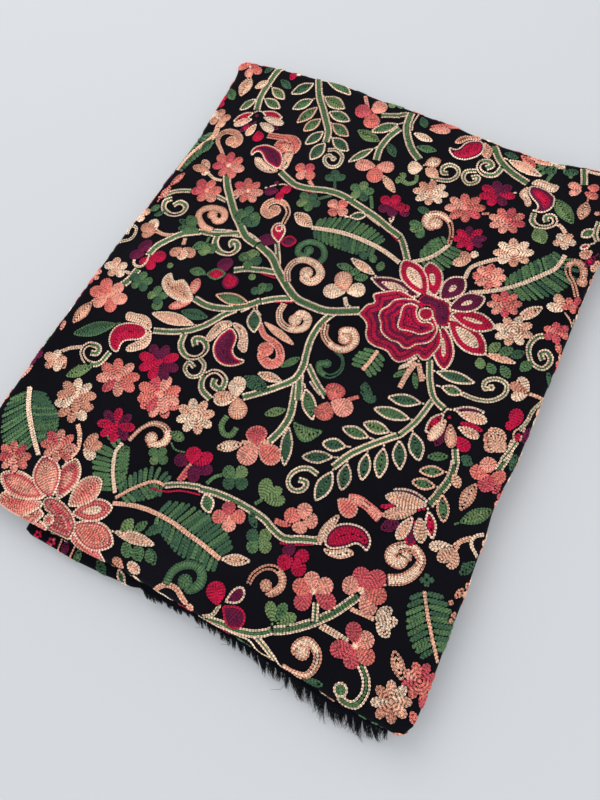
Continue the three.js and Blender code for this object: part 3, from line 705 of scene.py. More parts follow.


# %% [markdown]
# ## The chart of the embroidery
# Ordinary flowers, leaves, ferns, hooks and paisley buds on winding stems, charted one by one.
# An R row opens a part of the chart: its corner in the image, the image units one chart step
# stands for, and how far the cloth is foreshortened there. The rows under it count in those
# steps from that corner, x to the right and y down. Colours are letters from the rim inwards.
# - F x y radius petals turn colours eye: a flower, with one colour a petal
# - G x y colours eye tip-x,tip-y ...: a flower whose petals reach the tips given
# - L root-x root-y tip-x tip-y width colours [bend]: a leaf, P a pointed petal, D a round
#   petal, B a bud
# - O x y width colours: a disc
# - C colours x,y ...: a closed form, filled from its rim inwards
# - H start-width end-width colours x,y ...: a hook that rolls up into a bulb
# - S width core x,y ...: a stem with cream rims, T width colours x,y ...: a line
# - N width spine colours reach reach from to x,y ...: a fern, with the reach of its leaves
#   on each side and the part of the spine they take
# - + goes on with the row above it
#
# A picture of the pattern on the cloth would be quicker, but it would be flat. A chart lets
# each motif be worked in real stitches, and any one of them can be moved or recoloured.

# %% The chart
CHART = """
R 80 120 0.3333 1
N 9 p dg 26 34 0.15 1.0 414,12 398,48 362,76 322,112 292,150
L 268 198 318 155 20 ol
L 238 238 275 196 20 op
T 13 p 262,205 240,235
P 388 152 338 138 24 t
P 388 148 368 118 22 p
P 392 152 362 162 18 c
S 12 g 250,228 285,214 325,212 370,218 405,226 438,242
C ccppt 275,455 283,482 310,478 328,502 340,535 322,548 288,540 258,520 245,492 252,470
P 332 528 356 472 30 ol
P 335 545 262 562 26 ol
R 237 127 0.12 1
C ckmm 112,232 118,195 160,160 230,145 300,160 355,195 380,235 385,280 370,325 340,350 300,335
+ 255,305 225,270 205,225 180,205 150,215 125,240
C pcc 145,255 150,310 190,355 250,380 310,380 350,365 330,350 290,335 240,300 200,258 165,250
C pcp 385,220 440,210 470,225 440,300 410,350 370,355 345,350 375,320 388,280
C olp 350,145 400,130 470,160 480,200 440,215 385,205
R 507 168 0.12 1
C cmmkk 190,150 240,150 310,170 365,205 400,245 400,290 380,330 330,365 270,372 215,358 205,345
+ 240,345 255,325 240,290 205,250 180,205
C pcc 190,150 140,170 105,205 110,240 140,270 150,310 180,322 205,300 195,260 175,215 180,175
C cpc 195,130 250,95 320,105 370,130 435,150 420,185 390,205 355,195 300,160 240,145
R 440 120 0.12 1
C cmkk 78,212 100,235 140,240 170,225 200,195 250,172 310,170 350,180 370,210 365,250 340,285
+ 290,315 220,332 150,325 100,295 75,255
C ptp 120,185 150,150 200,130 260,125 320,140 350,165 310,168 250,165 200,185 170,195 135,198
C ptp 360,175 400,205 440,240 430,290 400,320 360,300 345,285 368,250 372,210
R 100 308 0.12 1
C ckk 70,270 80,220 110,170 160,135 230,120 300,125 350,140 385,170 390,200 370,240 320,265
+ 260,268 210,275 175,305 160,345 140,370 105,355 80,320
C cpc 215,45 250,30 300,45 360,55 410,85 430,130 425,170 395,185 370,150 320,125 260,110 215,95
C cpc 425,175 430,230 415,290 380,330 310,355 250,365 210,350 235,310 290,285 350,255 385,215 400,190
R 203 317 0.12 1
C ckmm 225,85 190,105 150,135 110,180 85,230 80,290 100,350 140,390 190,410 240,412 300,400
+ 345,375 345,352 300,345 270,320 250,280 270,220 285,170 265,115 240,90
C cpc 10,190 60,110 120,50 180,30 235,35 240,75 190,95 150,125 110,165 60,205 30,200
C cpc 240,40 310,60 360,110 375,180 370,260 350,300 310,280 285,240 300,190 290,130 255,85
R 20 500 0.5 1
C cmkk 608,88 614,66 632,50 655,46 680,52 698,68 702,88 692,104 684,94 672,88 655,94 635,98 618,97
C pc 593,85 600,60 620,38 640,28 632,48 614,64 607,85
C pc 604,92 612,108 640,118 670,108 655,96 635,100 618,99
R 200 40 0.1276 .82
F 395 215 100 5 30 oloor c
L 395 280 315 445 95 pcp
L 500 262 585 262 45 d
L 765 262 705 322 50 k
F 800 288 50 5 0 cpc c
L 230 385 265 475 70 g
F 150 610 90 5 0 tptct p
T 16 p 155,660 130,740 60,810 -10,850
L 0 890 100 770 75 gd
S 46 g 655,255 600,275 545,330 500,400 465,470 445,545
L 545 315 420 380 62 pc
L 560 365 668 472 72 cv
L 500 455 635 540 76 cg
L 445 455 300 555 72 cg
L 630 305 715 385 58 d
O 445 592 30 m
L 430 565 250 640 66 ck
L 480 560 658 615 66 ck
D 420 615 262 665 60 cp
D 490 600 655 660 60 cc
L 420 650 300 720 52 mk
D 445 650 362 750 62 cp
D 465 645 575 715 62 cc
L 520 650 620 705 46 m
D 455 710 455 795 84 k
H 48 120 lo 530,745 630,760 720,775 755,815 720,860 640,830
S 46 g 630,1030 690,1090 760,1140 870,1165 1000,1180 1110,1215 1200,1270 1300,1335 1400,1405
+ 1480,1475 1568,1540
T 12 k 650,1060 700,1130 750,1165 880,1195
T 26 l 885,1145 845,1085
F 825 1030 92 4 45 olor l
F 1080 1315 95 4 45 lolo l
D 1055 1100 985 1060 62 d
D 1055 1100 1060 1015 70 d
D 1055 1100 1140 1060 62 d
T 20 d 1057,1100 1057,1180
F 850 1262 98 5 20 dgvgd g
T 22 g 925,1245 1030,1218
F 1265 1185 100 5 0 gdvgv g
T 24 g 1340,1220 1348,1320
O 600 1118 38 m
D 620 1180 505 1185 75 m
D 625 1180 715 1165 72 k
D 625 1185 625 1250 66 k
T 16 c 505,1160 600,1135 660,1130 710,1150
F 375 1180 122 7 -90 oollolr c
F 225 980 128 7 -80 rolooro c
T 24 c 230,900 225,1010
F 50 1180 118 6 -60 oolorr l
T 26 c 55,1195 185,1245
T 20 c 60,1040 110,1085 170,1098
H 24 76 pt 205,960 165,860 140,800 155,745 210,715 280,730 312,785 275,822 240,790
S 50 g 212,1000 212,1120 235,1230 270,1350 310,1440 360,1540 440,1600
S 36 g 240,1255 315,1200
S 38 g 0,1500 120,1520 300,1512
D 345 1420 310 1325 70 g
D 345 1420 395 1340 64 g
D 350 1420 475 1385 70 g
T 20 g 345,1420 345,1450
H 36 92 pt 650,1440 692,1350 660,1280 590,1258 520,1290 505,1345 550,1372 585,1335
O 620 1475 62 ck
F 1500 1295 112 5 -60 kkmmk k
L 1492 1440 1512 1350 42 cm
L 885 1470 735 1345 100 cp
L 1160 1385 1320 1368 72 cd
S 44 g 925,320 935,430 965,540 990,640 1005,720 985,800
L 900 365 700 425 88 cd
L 895 460 715 545 88 cg
L 930 520 750 655 88 pg
L 955 610 800 720 88 pg
L 975 710 815 825 88 cd
L 985 800 855 945 104 cd
L 960 340 1190 440 88 cg
L 970 440 1140 545 98 cv
L 1000 560 1185 640 88 cg
L 1030 650 1170 760 88 pg
L 1030 760 1170 875 92 cd
H 30 46 cg 1000,862 1070,862 1115,915 1080,985 1010,990 972,935 1010,900 1045,930
D 1352 572 1218 546 112 r
D 1338 568 1456 512 112 l
D 1345 560 1345 690 118 o
T 24 l 1290,460 1315,530
S 38 g 1420,590 1568,592
L 1568 655 1325 722 84 cg
L 1415 800 1230 700 88 v
S 48 g 1568,690 1480,760 1410,850 1380,940
L 1370 845 1150 960 66 cg
L 1470 800 1535 925 64 d
D 1380 988 1216 974 100 l
D 1380 984 1522 1000 100 l
D 1377 985 1365 1116 120 o
L 1430 1050 1532 1205 66 p
L 1200 410 1320 445 44 d
L 1540 1130 1568 1060 44 v
R 400 100 0.1276 .70
S 50 g 90,100 55,200 60,290 95,390 150,465
S 38 g 0,115 90,110
T 14 c 95,240 105,180 150,115
L 100 255 265 325 62 c
L 120 360 297 402 62 g
L 170 130 205 225 62 d
L 230 205 480 230 50 o
D 220 225 398 245 66 l
S 48 g 735,360 790,480 880,570 1000,650
H 36 38 cg 240,612 380,630 452,590 455,540 400,508 340,525 335,572 378,572
H 36 38 cg 600,555 520,560 495,605 530,655 600,642 612,600 562,608
H 44 40 cg 800,530 745,585 660,580 615,530 640,485 700,480 722,515 675,532
L 840 465 1122 602 92 cp
L 810 410 940 462 52 d
L 940 430 1075 535 62 o
L 980 440 1225 520 54 pl
L 1100 540 1240 572 52 d
L 1270 570 1412 572 72 d
S 42 g 1440,540 1445,665
T 24 c 1465,558 1568,585
D 1430 690 1318 660 70 l
D 1430 700 1325 740 60 l
D 1470 680 1560 700 80 o
D 1445 720 1550 770 70 o
L 1470 790 1410 948 88 tp
F 240 725 144 8 10 ccpcpttc p
D 180 530 60 530 118 c
L 190 510 328 468 92 tc
L 200 530 300 612 92 p
H 26 58 v 132,585 122,640 60,655 12,622 20,592
D -10 880 75 830 60 k
D -10 890 75 890 60 m
F 510 845 163 8 0 oroolloo l
T 20 l 640,890 700,890
F 840 945 153 8 20 rollloro o
F 545 1085 138 8 0 mmkkkkmk k
F 760 735 147 7 -90 mmkmkkk m
T 16 c 600,780 700,755 800,735 915,725
H 44 40 cg 1052,885 1036,950 1090,992 1170,992 1218,955 1192,908 1140,918 1150,955
T 30 cp 1222,962 1275,1005 1302,1060
F 1290 1105 97 5 90 cpcpc p
L 1205 770 1362 978 112 gv
L 1060 1000 1132 1132 112 v
L 240 880 130 845 62 d
D 195 1000 75 955 70 g
D 195 1005 75 1010 66 v
D 195 1015 130 1075 70 g
H 34 100 tc 385,1130 405,1040 385,950 310,895 230,905 205,960 250,995 280,965
N 30 c g 139 139 0.0 1.0 1260,290 1300,380 1315,480
N 30 c g 128 151 0.25 1.0 60,1275 200,1245 300,1200 390,1130
N 34 c gd 145 191 0.33 0.98 540,1510 760,1490 950,1440 1120,1370 1230,1310 1295,1215
F 890 1195 163 8 0 cptcpcpc c
D 565 1250 412 1280 80 p
D 565 1240 470 1200 70 t
D 565 1240 600 1185 60 c
T 30 c 510,1395 560,1310 700,1260 810,1240
F 700 1385 134 8 0 llololol l
L 1532 1010 1412 1078 86 cg
L 1500 1130 1400 1168 52 ck
D 1510 1180 1412 1232 82 pt
L 1540 1220 1440 1312 62 mk
L 1562 1260 1490 1352 62 p
H 36 84 tp 1385,1545 1360,1440 1318,1360 1325,1290 1390,1268 1440,1330 1430,1425
O 1545 890 42 t
S 36 g 1560,950 1530,1050 1548,1110
R 60 200 0.1276 .88
S 50 g 1470,275 1330,258 1200,250 1080,250 960,265 850,310 760,360 700,420
H 40 42 cg 880,-10 825,10 815,70 870,112 950,102 988,50 940,15 890,42
L 700 85 792 38 52 g
L 730 120 822 92 46 d
H 48 76 tp 1190,240 1120,200 1085,120 1130,70 1210,62 1282,90 1282,150 1225,165 1195,112
H 24 28 cg 465,332 560,300 600,222 555,208 520,262
D 755 240 640 200 80 t
D 755 240 715 155 80 c
D 755 245 640 270 80 t
T 28 p 750,240 820,270 900,275
L 1090 230 912 215 62 g
L 1060 215 1000 118 82 g
L 1060 215 925 150 54 d
D 1440 200 1410 80 84 g
D 1445 200 1495 85 84 g
D 1450 205 1565 150 84 d
D 690 400 650 325 110 m
D 670 420 545 430 84 m
D 700 450 832 440 96 k
D 700 460 720 545 74 k
T 20 c 700,415 610,438 575,490 610,520 660,505 705,420
L 690 440 612 505 44 k
S 54 g 612,540 545,620 480,670 420,712
F 440 530 92 5 200 cpccp p
T 25 c 505,560 545,572
F 380 745 152 6 20 lolool l
T 30 p 450,705 350,760 250,800
L 255 788 92 972 98 tp
F 635 635 92 5 0 gdgdg g
F 765 745 82 4 0 gdvg g
D 800 770 735 858 84 g
O 862 512 48 v
S 50 g 1050,770 1160,830 1290,850 1390,842 1500,815 1568,790
D 960 370 862 430 76 t
D 962 370 955 468 84 cp
D 965 370 1052 440 76 t
T 28 p 965,350 982,298
L 1150 335 1030 378 72 g
L 1145 340 1120 440 96 v
L 1148 340 1208 420 82 g
T 20 g 1150,335 1170,290
H 50 36 cg 1232,280 1215,340 1250,402 1330,422 1392,380 1380,332 1342,330 1355,362
D 1300 560 1290 455 120 m
L 1142 582 1305 576 98 gk
D 1310 570 1352 692 124 mk
L 1145 570 1008 548 72 g
S 44 g 1360,550 1460,540 1568,548
O 1505 602 56 v
F 1490 462 92 4 20 dggv g
D 1568 700 1495 720 70 d
L 1490 812 1208 738 98 pg
S 46 g 1400,850 1280,900 1160,970 1020,1020 880,1032 730,1022
T 12 k 1250,955 1100,1010 1000,1048
L 1062 980 705 880 98 cp
L 940 868 1168 922 88 d
L 450 968 88 1052 112 gd
H 44 40 cg 392,1190 300,1282 205,1265 172,1185 222,1130 300,1150 292,1200 240,1195
T 28 cp 0,1190 80,1160 172,1150
L 5 1200 35 1330 66 t
L 0 1030 42 925 32 l
L 262 1300 32 1382 88 v
F 455 1390 172 8 0 oolrlool l
F 775 1270 168 8 -20 kmmkkkmm k
T 20 c 700,1150 760,1230 780,1320 800,1400
F 775 1520 178 8 -60 lollroor l
F 130 1530 155 8 -40 ctttcttc c
H 50 40 cg 975,1050 945,1140 990,1222 1080,1232 1148,1170 1122,1095 1052,1090 1062,1140
H 36 40 cg 1090,1240 1130,1290 1100,1370 1020,1382 978,1322 1010,1270 1050,1312
H 50 46 cg 1180,1560 1110,1480 1130,1382 1220,1342 1292,1400 1262,1480 1200,1450 1215,1400
D 1388 1545 1385 1396 135 c
D 1385 1532 1198 1546 98 p
L 1440 1370 1568 1492 92 d
L 1520 850 1520 1048 112 cd
R 240 200 0.1276 .85
S 56 g 40,270 100,310 170,370 250,450 300,560 370,680 440,770 560,830 700,872 935,868
S 38 g 300,560 298,450 290,340
D 300 340 300 175 110 ckk
L 285 330 150 290 98 m
L 310 325 452 320 98 km
S 46 g 0,540 150,545 290,570
T 12 k 160,572 240,600 310,622
H 50 98 pc 375,640 370,560 420,490 510,468 600,510 632,580 570,642 500,615 520,570
H 46 74 dg 610,500 662,440 640,360 550,328 470,360 458,420 520,435 540,395
N 34 c gd 139 145 0.02 0.72 560,215 700,235 850,270 1000,330 1130,400 1250,490
L 575 205 422 88 98 cp
L 850 125 1012 118 70 cd
S 46 g 860,0 960,70 1060,150 1170,230 1262,300 1312,470
T 12 k 1040,135 1100,190 1200,285 1240,325
F 62 120 88 4 10 gdgd g
F 92 460 88 4 30 dgvg g
D 190 720 85 705 70 g
D 190 720 165 650 70 g
D 195 720 245 655 66 d
O 98 605 52 v
L 1062 592 860 448 72 cp
L 895 540 748 502 62 g
L 955 552 820 575 66 g
L 1012 602 888 612 68 g
L 990 470 940 388 60 d
L 1055 495 1030 420 62 g
L 1080 560 1122 480 66 g
D 832 722 795 560 132 tp
D 830 725 652 705 122 c
D 835 725 982 690 122 c
T 30 c 820,760 842,830 930,860
H 50 98 pc 350,810 308,880 320,960 400,1012 500,1002 532,930 472,888 432,940
H 56 100 tc 672,970 660,1060 720,1142 820,1172 902,1112 882,1032 802,1030 820,1085
S 52 g 740,880 640,960 560,1080 520,1200 495,1300 430,1400 300,1460 150,1510 20,1545
S 44 g 530,1290 600,1430 665,1530
S 48 g 440,772 300,772 150,800 0,860
T 12 k 250,800 400,802 520,808
L 132 850 100 1042 112 cd
H 46 122 lo 150,960 190,1060 260,1110 312,1180 300,1268 220,1282 172,1215 200,1170
L 182 950 435 1145 62 p
L 482 1228 308 1312 62 g
H 24 74 dg 740,1180 802,1240 792,1330 710,1382 630,1345 622,1280 680,1282
L 340 1425 128 1350 76 cp
L 35 1370 225 1495 100 d
N 30 p g 116 128 0.0 1.0 1080,1180 1020,1260 960,1330
D 990 1420 960 1500 60 d
T 38 p 1380,1270 1300,1380 1250,1470
T 38 p 1400,1280 1425,1420
L 1365 1270 1228 1322 38 c
L 1312 1332 1190 1390 46 g
L 1365 1340 1382 1492 46 g
S 56 g 470,1370 455,1568
R 400 260 0.1276 .76
F 700 130 138 8 10 llololol l
F 820 345 142 8 0 oorlloro o
F 890 555 162 8 20 pcpccpcp c
L 900 470 1132 362 92 cp
D 1285 400 1150 350 80 c
D 1285 400 1225 265 80 p
D 1290 395 1290 310 60 c
T 16 p 1290,410 1350,530
F 1358 355 92 5 20 rooor p
T 18 p 1405,470 1350,530
F 1225 570 112 6 -90 rrorro o
L 1230 640 1262 752 62 o
H 46 44 cgg 1180,600 1080,600 1010,680 1030,800 1120,852 1182,790 1152,720 1100,735 1120,785
L 690 722 792 648 82 v
L 770 742 892 688 82 g
L 860 762 984 716 76 d
L 650 730 922 812 66 p
L 620 760 638 862 82 v
L 690 800 742 902 76 g
L 790 820 862 932 80 g
L 1035 790 940 872 84 g
S 48 g 232,780 235,950 265,1080 345,1165
S 48 g 265,1080 180,1200 100,1290 0,1370
L 270 870 602 968 100 cd
L 312 990 505 1052 88 cg
H 36 60 cg 480,1045 600,1092 720,1102 822,1050 832,970 750,930 665,955 662,1010 715,1000
D 1010 1040 860 970 84 t
D 1010 1040 935 915 90 c
D 1010 1045 870 1080 84 c
T 28 p 1010,1050 1110,1095
S 40 g 1135,1090 1050,1170 1000,1260 935,1335
S 40 g 915,1420 860,1500 800,1568
T 16 p 1000,1290 900,1340 890,1400 915,1440
T 16 p 985,1300 940,1420
L 940 1345 905 1435 44 k
D 890 1320 925 1165 112 k
D 900 1310 825 1290 80 k
L 1020 1310 955 1450 64 m
L 350 1190 188 1362 98 ck
D 370 1240 225 1415 92 pc
L 370 1290 268 1475 82 m
D 392 1270 400 1475 92 tp
L 400 1170 682 1195 76 cm
D 440 1195 685 1265 96 cp
L 460 1270 662 1345 64 k
D 440 1300 622 1392 82 cp
D 450 1380 530 1500 104 k
O 388 1232 36 km
D 820 1440 700 1320 110 p
D 820 1440 650 1400 80 t
D 820 1445 655 1470 100 p
T 22 p 820,1440 850,1480
S 52 g 430,1480 440,1600
L 200 1540 392 1540 72 g
L 480 1530 560 1600 80 d
L 1150 870 1162 1020 54 d
L 1440 35 1525 -5 62 m
R 0 350 0.1276 .93
O 380 1330 96 clr
C crlrrlrlrlr 333,1176 392,1147 470,1176 549,1254 588,1333 588,1411 539,1490 470,1470 402,1425
+ 365,1380 400,1300 350,1250
P 400 1170 338 825 222 crllpl
P 450 1175 602 845 196 clrrol
P 530 1225 800 1000 205 cllolo
P 560 1280 890 1232 180 crorcc
P 560 1360 890 1535 222 crlolo
P 540 1440 835 1660 130 crlro
P 350 1160 0 965 190 clroll
P 340 1215 -30 1170 235 cllolo
P 350 1290 60 1290 200 clolol
P 380 1400 170 1430 170 crlol
N 30 c gd 232 232 0.05 0.85 228,285 218,450 245,620 300,820
T 16 c 245,290 238,450 268,640 312,820
F 460 750 146 8 10 lollorlo l
F 110 835 137 8 0 oollroor l
F 580 430 155 8 10 tcttctcc c
T 34 p 610,580 625,680 600,790 510,880
D 645 760 770 660 80 t
D 645 760 805 745 80 t
D 650 770 740 850 84 c
F 910 590 151 8 10 kmkkkmkm k
F 925 215 160 8 0 loolrool l
F 1250 390 164 8 -20 ooolollo l
F 1530 520 155 8 -10 pcpccpcp c
L 730 115 505 205 92 v
F 430 80 94 5 0 pctpc p
L 262 105 160 232 32 l
H 32 100 tc 1010,710 1100,620 1200,575 1290,605 1315,680 1260,740 1185,735 1185,690
N 30 c g 174 128 0.05 1.0 900,1120 885,950 905,800 960,730
N 26 p gd 128 139 0.1 1.0 900,1160 1050,1080 1200,1030 1290,1060
S 44 g 1290,1062 1420,1055 1568,1075
T 12 k 1180,1082 1300,1110 1420,1104 1568,1135
N 36 p dg 220 174 0.38 1.0 880,1200 1050,1220 1200,1270 1350,1350 1470,1440 1568,1510 1650,1578
+ 1725,1638
L 940 1425 1052 1318 92 v
L 1040 1425 1162 1340 72 g
L 1150 1432 1255 1388 82 d
L 885 1420 1228 1535 96 cp
L 970 1500 1010 1640 90 g
L 1060 1530 1080 1660 90 g
L 1150 1560 1190 1680 80 g
T 56 or 1405,1030 1490,915
D 1497 895 1530 758 128 k
D 1488 890 1370 842 106 m
D 1500 900 1528 1036 106 m
D 1507 893 1668 824 104 k
D 1507 902 1666 952 100 m
L 1335 640 1452 712 82 gv
F 1240 830 88 4 40 gvgg g
T 12 g 1340,722 1370,780 1450,802
R 180 380 0.1276 .9
S 53 g 150,850 300,892 430,950 560,1022 660,1092 730,1172 820,1242 950,1248 1112,1262
T 12 k 0,872 130,884
T 12 k 780,1280 900,1292 1100,1288
D 450 135 450 -28 140 c
D 450 132 260 150 124 c
D 450 130 455 308 148 tp
H 44 60 gv 370,280 325,350 342,420 400,432 442,372
L 842 228 645 272 72 v
S 57 g 915,0 890,150 860,282 790,392 700,480
L 980 55 1042 328 112 cg
L 852 350 815 692 100 cd
L 885 310 1138 385 120 gv -32
S 48 g 1030,0 1090,80 1142,132
D 1180 160 1240 30 161 ro
D 1165 170 1100 312 152 o
D 1180 165 1348 250 152 l
T 30 o 1290,160 1400,132
L 1440 0 1470 170 84 d
D 1430 130 1500 80 90 d
D 1430 140 1540 150 80 d
D 600 515 598 358 168 or
D 604 492 474 652 164 l
D 612 500 772 642 164 lo
T 36 p 480,490 600,492 700,478
L 500 498 268 536 90 pc
T 34 l 0,790 90,660
F 432 765 122 4 45 ddgv g
T 28 g 350,740 270,760 208,812
D 640 940 690 770 110 v
D 650 930 800 850 90 v
D 650 935 825 945 100 v
T 28 g 660,925 585,972
F 618 1262 122 4 45 vgdv g
L 540 1030 602 1175 62 d
L 195 880 235 1052 112 cg
F 382 1072 132 4 -90 rolo l
D 960 1095 988 965 126 l
D 950 1090 820 1040 126 o
D 960 1100 1080 1105 126 l
D 950 1105 925 1200 126 l
T 46 o 740,1102 830,1130 900,1092
L 310 1400 565 1420 92 cp
H 44 48 cg 1080,740 1000,690 900,712 845,790 880,862 962,860 992,800 930,782
S 53 g 1730,425 1568,480 1440,530 1320,590 1200,682
L 1310 522 1098 492 112 cd
L 1212 605 935 600 106 cd
L 1200 705 1052 962 132 cd
L 1312 640 1262 882 116 cd
L 1470 560 1420 802 106 cd
L 1599 515 1554 790 115 cg
L 1492 455 1252 365 100 cg
L 1654 412 1419 330 108 cv
H 84 100 ol 1568,1085 1485,1000 1405,945 1320,930
D 1235 925 1375 1062 144 lo
D 870 1380 840 1290 115 m
D 890 1390 1010 1370 110 k
D 890 1400 765 1450 126 k
D 900 1400 950 1535 126 k
T 22 o 860,1290 920,1372 992,1490
R 340 380 0.1276 .95
L 650 185 360 130 105 cd
L 560 310 245 215 105 cg
L 570 400 625 650 125 cd
L 465 460 470 720 115 cd
S 62 g 905,540 895,680 850,790 780,880 700,975
L 665 602 860 600 62 g
L 940 590 1042 670 92 d
L 832 722 605 708 96 pg
L 762 838 542 790 96 pg
L 885 730 940 858 82 p
L 800 880 812 1138 108 pg
L 705 960 398 850 92 cm
P 690 985 345 905 122 cp
L 650 1020 292 985 62 k
P 610 1020 325 1060 101 p
L 470 1110 310 1170 100 m
D 580 1060 445 1250 98 cp
D 590 1090 540 1300 101 km
P 625 1070 635 1288 115 cp
L 690 1010 730 1265 96 ck
O 655 1010 32 k
H 90 50 tc 375,1568 500,1560 600,1490 640,1400 580,1310 500,1300 410,1340 395,1400 470,1440 500,1390
D 900 1310 695 1300 92 c
P 900 1320 760 1420 110 p
P 905 1320 860 1490 115 p
D 905 1310 920 1330 72 p
T 40 p 895,1305 960,1260 1050,1238
H 30 34 cg 1130,1210 1050,1230 1030,1300 1075,1390
L 925 1120 1200 1015 112 gv
L 925 1530 1070 1420 80 d
L 1325 720 1390 570 66 d
P 1300 560 1175 450 144 p
P 1300 520 1190 370 120 p
D 1290 540 1130 420 80 t
S 58 g 1235,712 1310,600 1370,480
P 1170 730 1155 600 132 l
P 1170 740 1015 700 132 o
P 1180 740 1120 880 132 r
P 1190 740 1290 790 132 o
P 1190 740 1225 900 108 r
L 1080 800 935 1035 110 tp
F 680 1568 60 4 0 d g
R 100 500 0.1276 .95
H 66 120 dg 515,660 570,560 660,510 760,520 800,590 780,660 700,700 665,640
L 155 310 270 130 92 v
L 260 240 385 160 72 g
L 350 270 470 210 82 d
L 110 250 445 360 70 p
L 210 310 210 470 96 g
L 290 340 310 495 96 g
L 370 370 430 520 92 d
D 190 540 100 455 70 t
D 215 600 290 500 130 cp
D 230 600 320 640 80 c
H 40 70 pt 425,705 500,668 590,690 650,780 690,865
T 14 c 425,710 500,770 570,805
D 920 830 900 635 160 k
D 960 830 1120 985 175 km
B 1130 690 960 800 118 cmm 10
H 44 100 tp 1165,660 1200,590 1290,530 1380,540 1430,610 1410,690 1330,730 1300,670
S 60 g 1345,1020 1300,1038 1190,1046 1050,1015 930,960 830,930
S 30 g 940,820 880,900 800,920
T 16 c 770,905 840,960 950,1010 1080,1060 1180,1110 1260,1200 1350,1290 1450,1350 1568,1420
S 44 g 1200,1050 1290,1150 1370,1260
D 1350 960 1330 790 96 v
D 1360 960 1460 810 90 g
D 1370 965 1540 910 96 v
T 24 v 1355,960 1330,1000
T 10 k 760,1010 900,1040 1000,1080
R 270 540 0.1276 1.05
G 340 405 ollrr c 180,340 320,245 490,330 510,520 200,530
S 50 g 360,490 350,640
S 68 g 0,712 150,700 300,660 400,620 520,560 690,440
G 715 395 lrrol c 570,330 720,210 900,260 915,450 800,590
T 36 p 690,430 780,390 880,350 960,320
H 60 110 tc 940,330 1050,310 1150,250 1180,160 1120,70 1030,70 960,110 960,170 1030,190 1060,130
P 820 630 960 530 105 c
P 830 640 1010 640 105 c
P 830 640 940 765 105 c
T 36 p 630,540 720,580 815,620
S 50 p 390,670 500,730 610,800
G 665 830 rlorr c 650,640 810,750 810,960 620,1010 470,870
H 66 118 cg 708,975 752,1095 738,1210 660,1295 570,1265 552,1175
H 50 130 tc 100,980 200,1040 290,1060 360,980 370,880 300,800 220,820 200,870 250,880
N 30 p dg 232 197 0.0 0.86 1210,400 1230,560 1260,720 1290,860 1310,960
D 1400 620 1430 650 50 t
D 1440 480 1400 500 50 t
L 1440 460 1530 370 60 t
L 1420 640 1460 560 50 t
L 1040 1120 965 845 112 tp
F 950 1270 168 8 -90 pcppttct p
F 1172 1105 150 8 -60 rrooorlo o
P 1180 1200 1250 1330 105 r
L 1100 1330 1130 1450 70 o
L 240 1100 430 1140 66 d
L 680 1360 760 1430 44 d
L 770 1430 870 1470 40 d
L 1480 250 1600 180 90 d
R 0 0 1 1
O 426 314 15 ck
C kmmm 418,299 425,294 433,297 441,300 448,304 450,312 449,321 445,326 438,325 435,319 434,311
+ 430,306 422,305
C ckkmkkm 419,306 412,303 405,304 401,308 400,314 398,320 397,326 400,330 406,331 413,333 420,335
+ 428,333 435,329 431,322 421,321 417,313
C ckmkkmmkkmm 416,299 407,298 400,298 393,300 388,305 381,309 378,316 380,323 380,330 384,336
+ 391,341 398,343 402,348 409,349 416,345 425,344 432,341 436,335 438,328 430,310
C ckkmkkmmkmk 414,297 400,290 386,291 373,294 374,302 367,304 362,309 358,314 363,319 366,325
+ 365,333 367,341 373,346 381,349 387,352 391,358 396,362 403,362 411,359 417,355 421,360 428,360
+ 434,354 440,347 442,338 440,328 430,312
L 421 297 369 277 18 cmmcc
P 427 297 403 259 24 ckkkcc
P 435 297 430 261 21 ckkkkc
P 440 300 465 277 22 cmmmmc
P 448 309 486 297 21 cmmmmc
P 450 313 496 328 21 ckkkkc
P 448 319 486 355 26 ckkkcc
P 443 325 444 371 21 ckmkkc
T 4 c 413,297 420,293 428,294 440,299 449,303 452,312 451,321 446,327 438,328
T 3 c 417,357 398,369
T 4 p 414,360 402,380
T 4 p 417,360 424,379
"""


# %% [markdown]
# ## Reading the chart
# Each letter has its own short function, which turns the readings of a row into places and
# widths on the cloth. The eye sees a chart step as shorter where the cloth lies further away,
# so the width of a motif is measured on the cloth at its own place.

# %% Rows of the chart
ORDER = "OCFGBPDLHSTN"         # what is worked first keeps its place


def numbers(words):
    return [float(word) for word in words]


def read_chart(text):
    entries = []
    corner = (0.0, 0.0, 1.0, 1.0)
    for line in text.split("\n"):
        words = line.split()
        if not words:
            continue
        if words[0] == "R":
            corner = tuple(numbers(words[1:]))
        elif words[0] == "+":
            entries[-1][1].extend(words[1:])
        else:
            entries.append((words[0], words[1:], corner))
    return sorted(entries, key=lambda entry: ORDER.index(entry[0]))


def route(words):
    return np.array([numbers(word.split(",")) for word in words])


# %% Places and sizes on the cloth
def place_at(corner, readings):
    """Chart readings to places on the cloth."""
    readings = np.asarray(readings, float).reshape(-1, 2) * corner[2]
    return to_cloth(corner[0] + readings[:, 0], corner[1] + readings[:, 1])


def size_at(corner, x, y):
    """The length on the cloth of one chart step at that place."""
    reach = 1 / corner[2]
    near = place_at(corner, [(x, y), (x + reach, y), (x, y + reach)])
    du = near[1] - near[0]
    dv = near[2] - near[0]
    return min(math.sqrt(abs(du[0] * dv[1] - du[1] * dv[0])), 1.0) * corner[2]


# %% One function for each letter
stalks = []


def work_form(work, words, corner, kind, tone):
    x1, y1, x2, y2, width = numbers(words[:5])
    bend = float(words[6]) / 100 if len(words) > 6 else 0.0
    root, tip = place_at(corner, [(x1, y1), (x2, y2)])
    size = size_at(corner, (x1 + x2) / 2, (y1 + y2) / 2)
    fill_form(work, root, tip, width * size, words[5], kind, bend, tone)
    if kind == "leaf" and len(set(words[5])) > 1:
        way = (root - tip) / max(1.0, np.hypot(*(root - tip)))
        stalks.append((root - way * 0.8, root + way * STALK, words[5][0]))


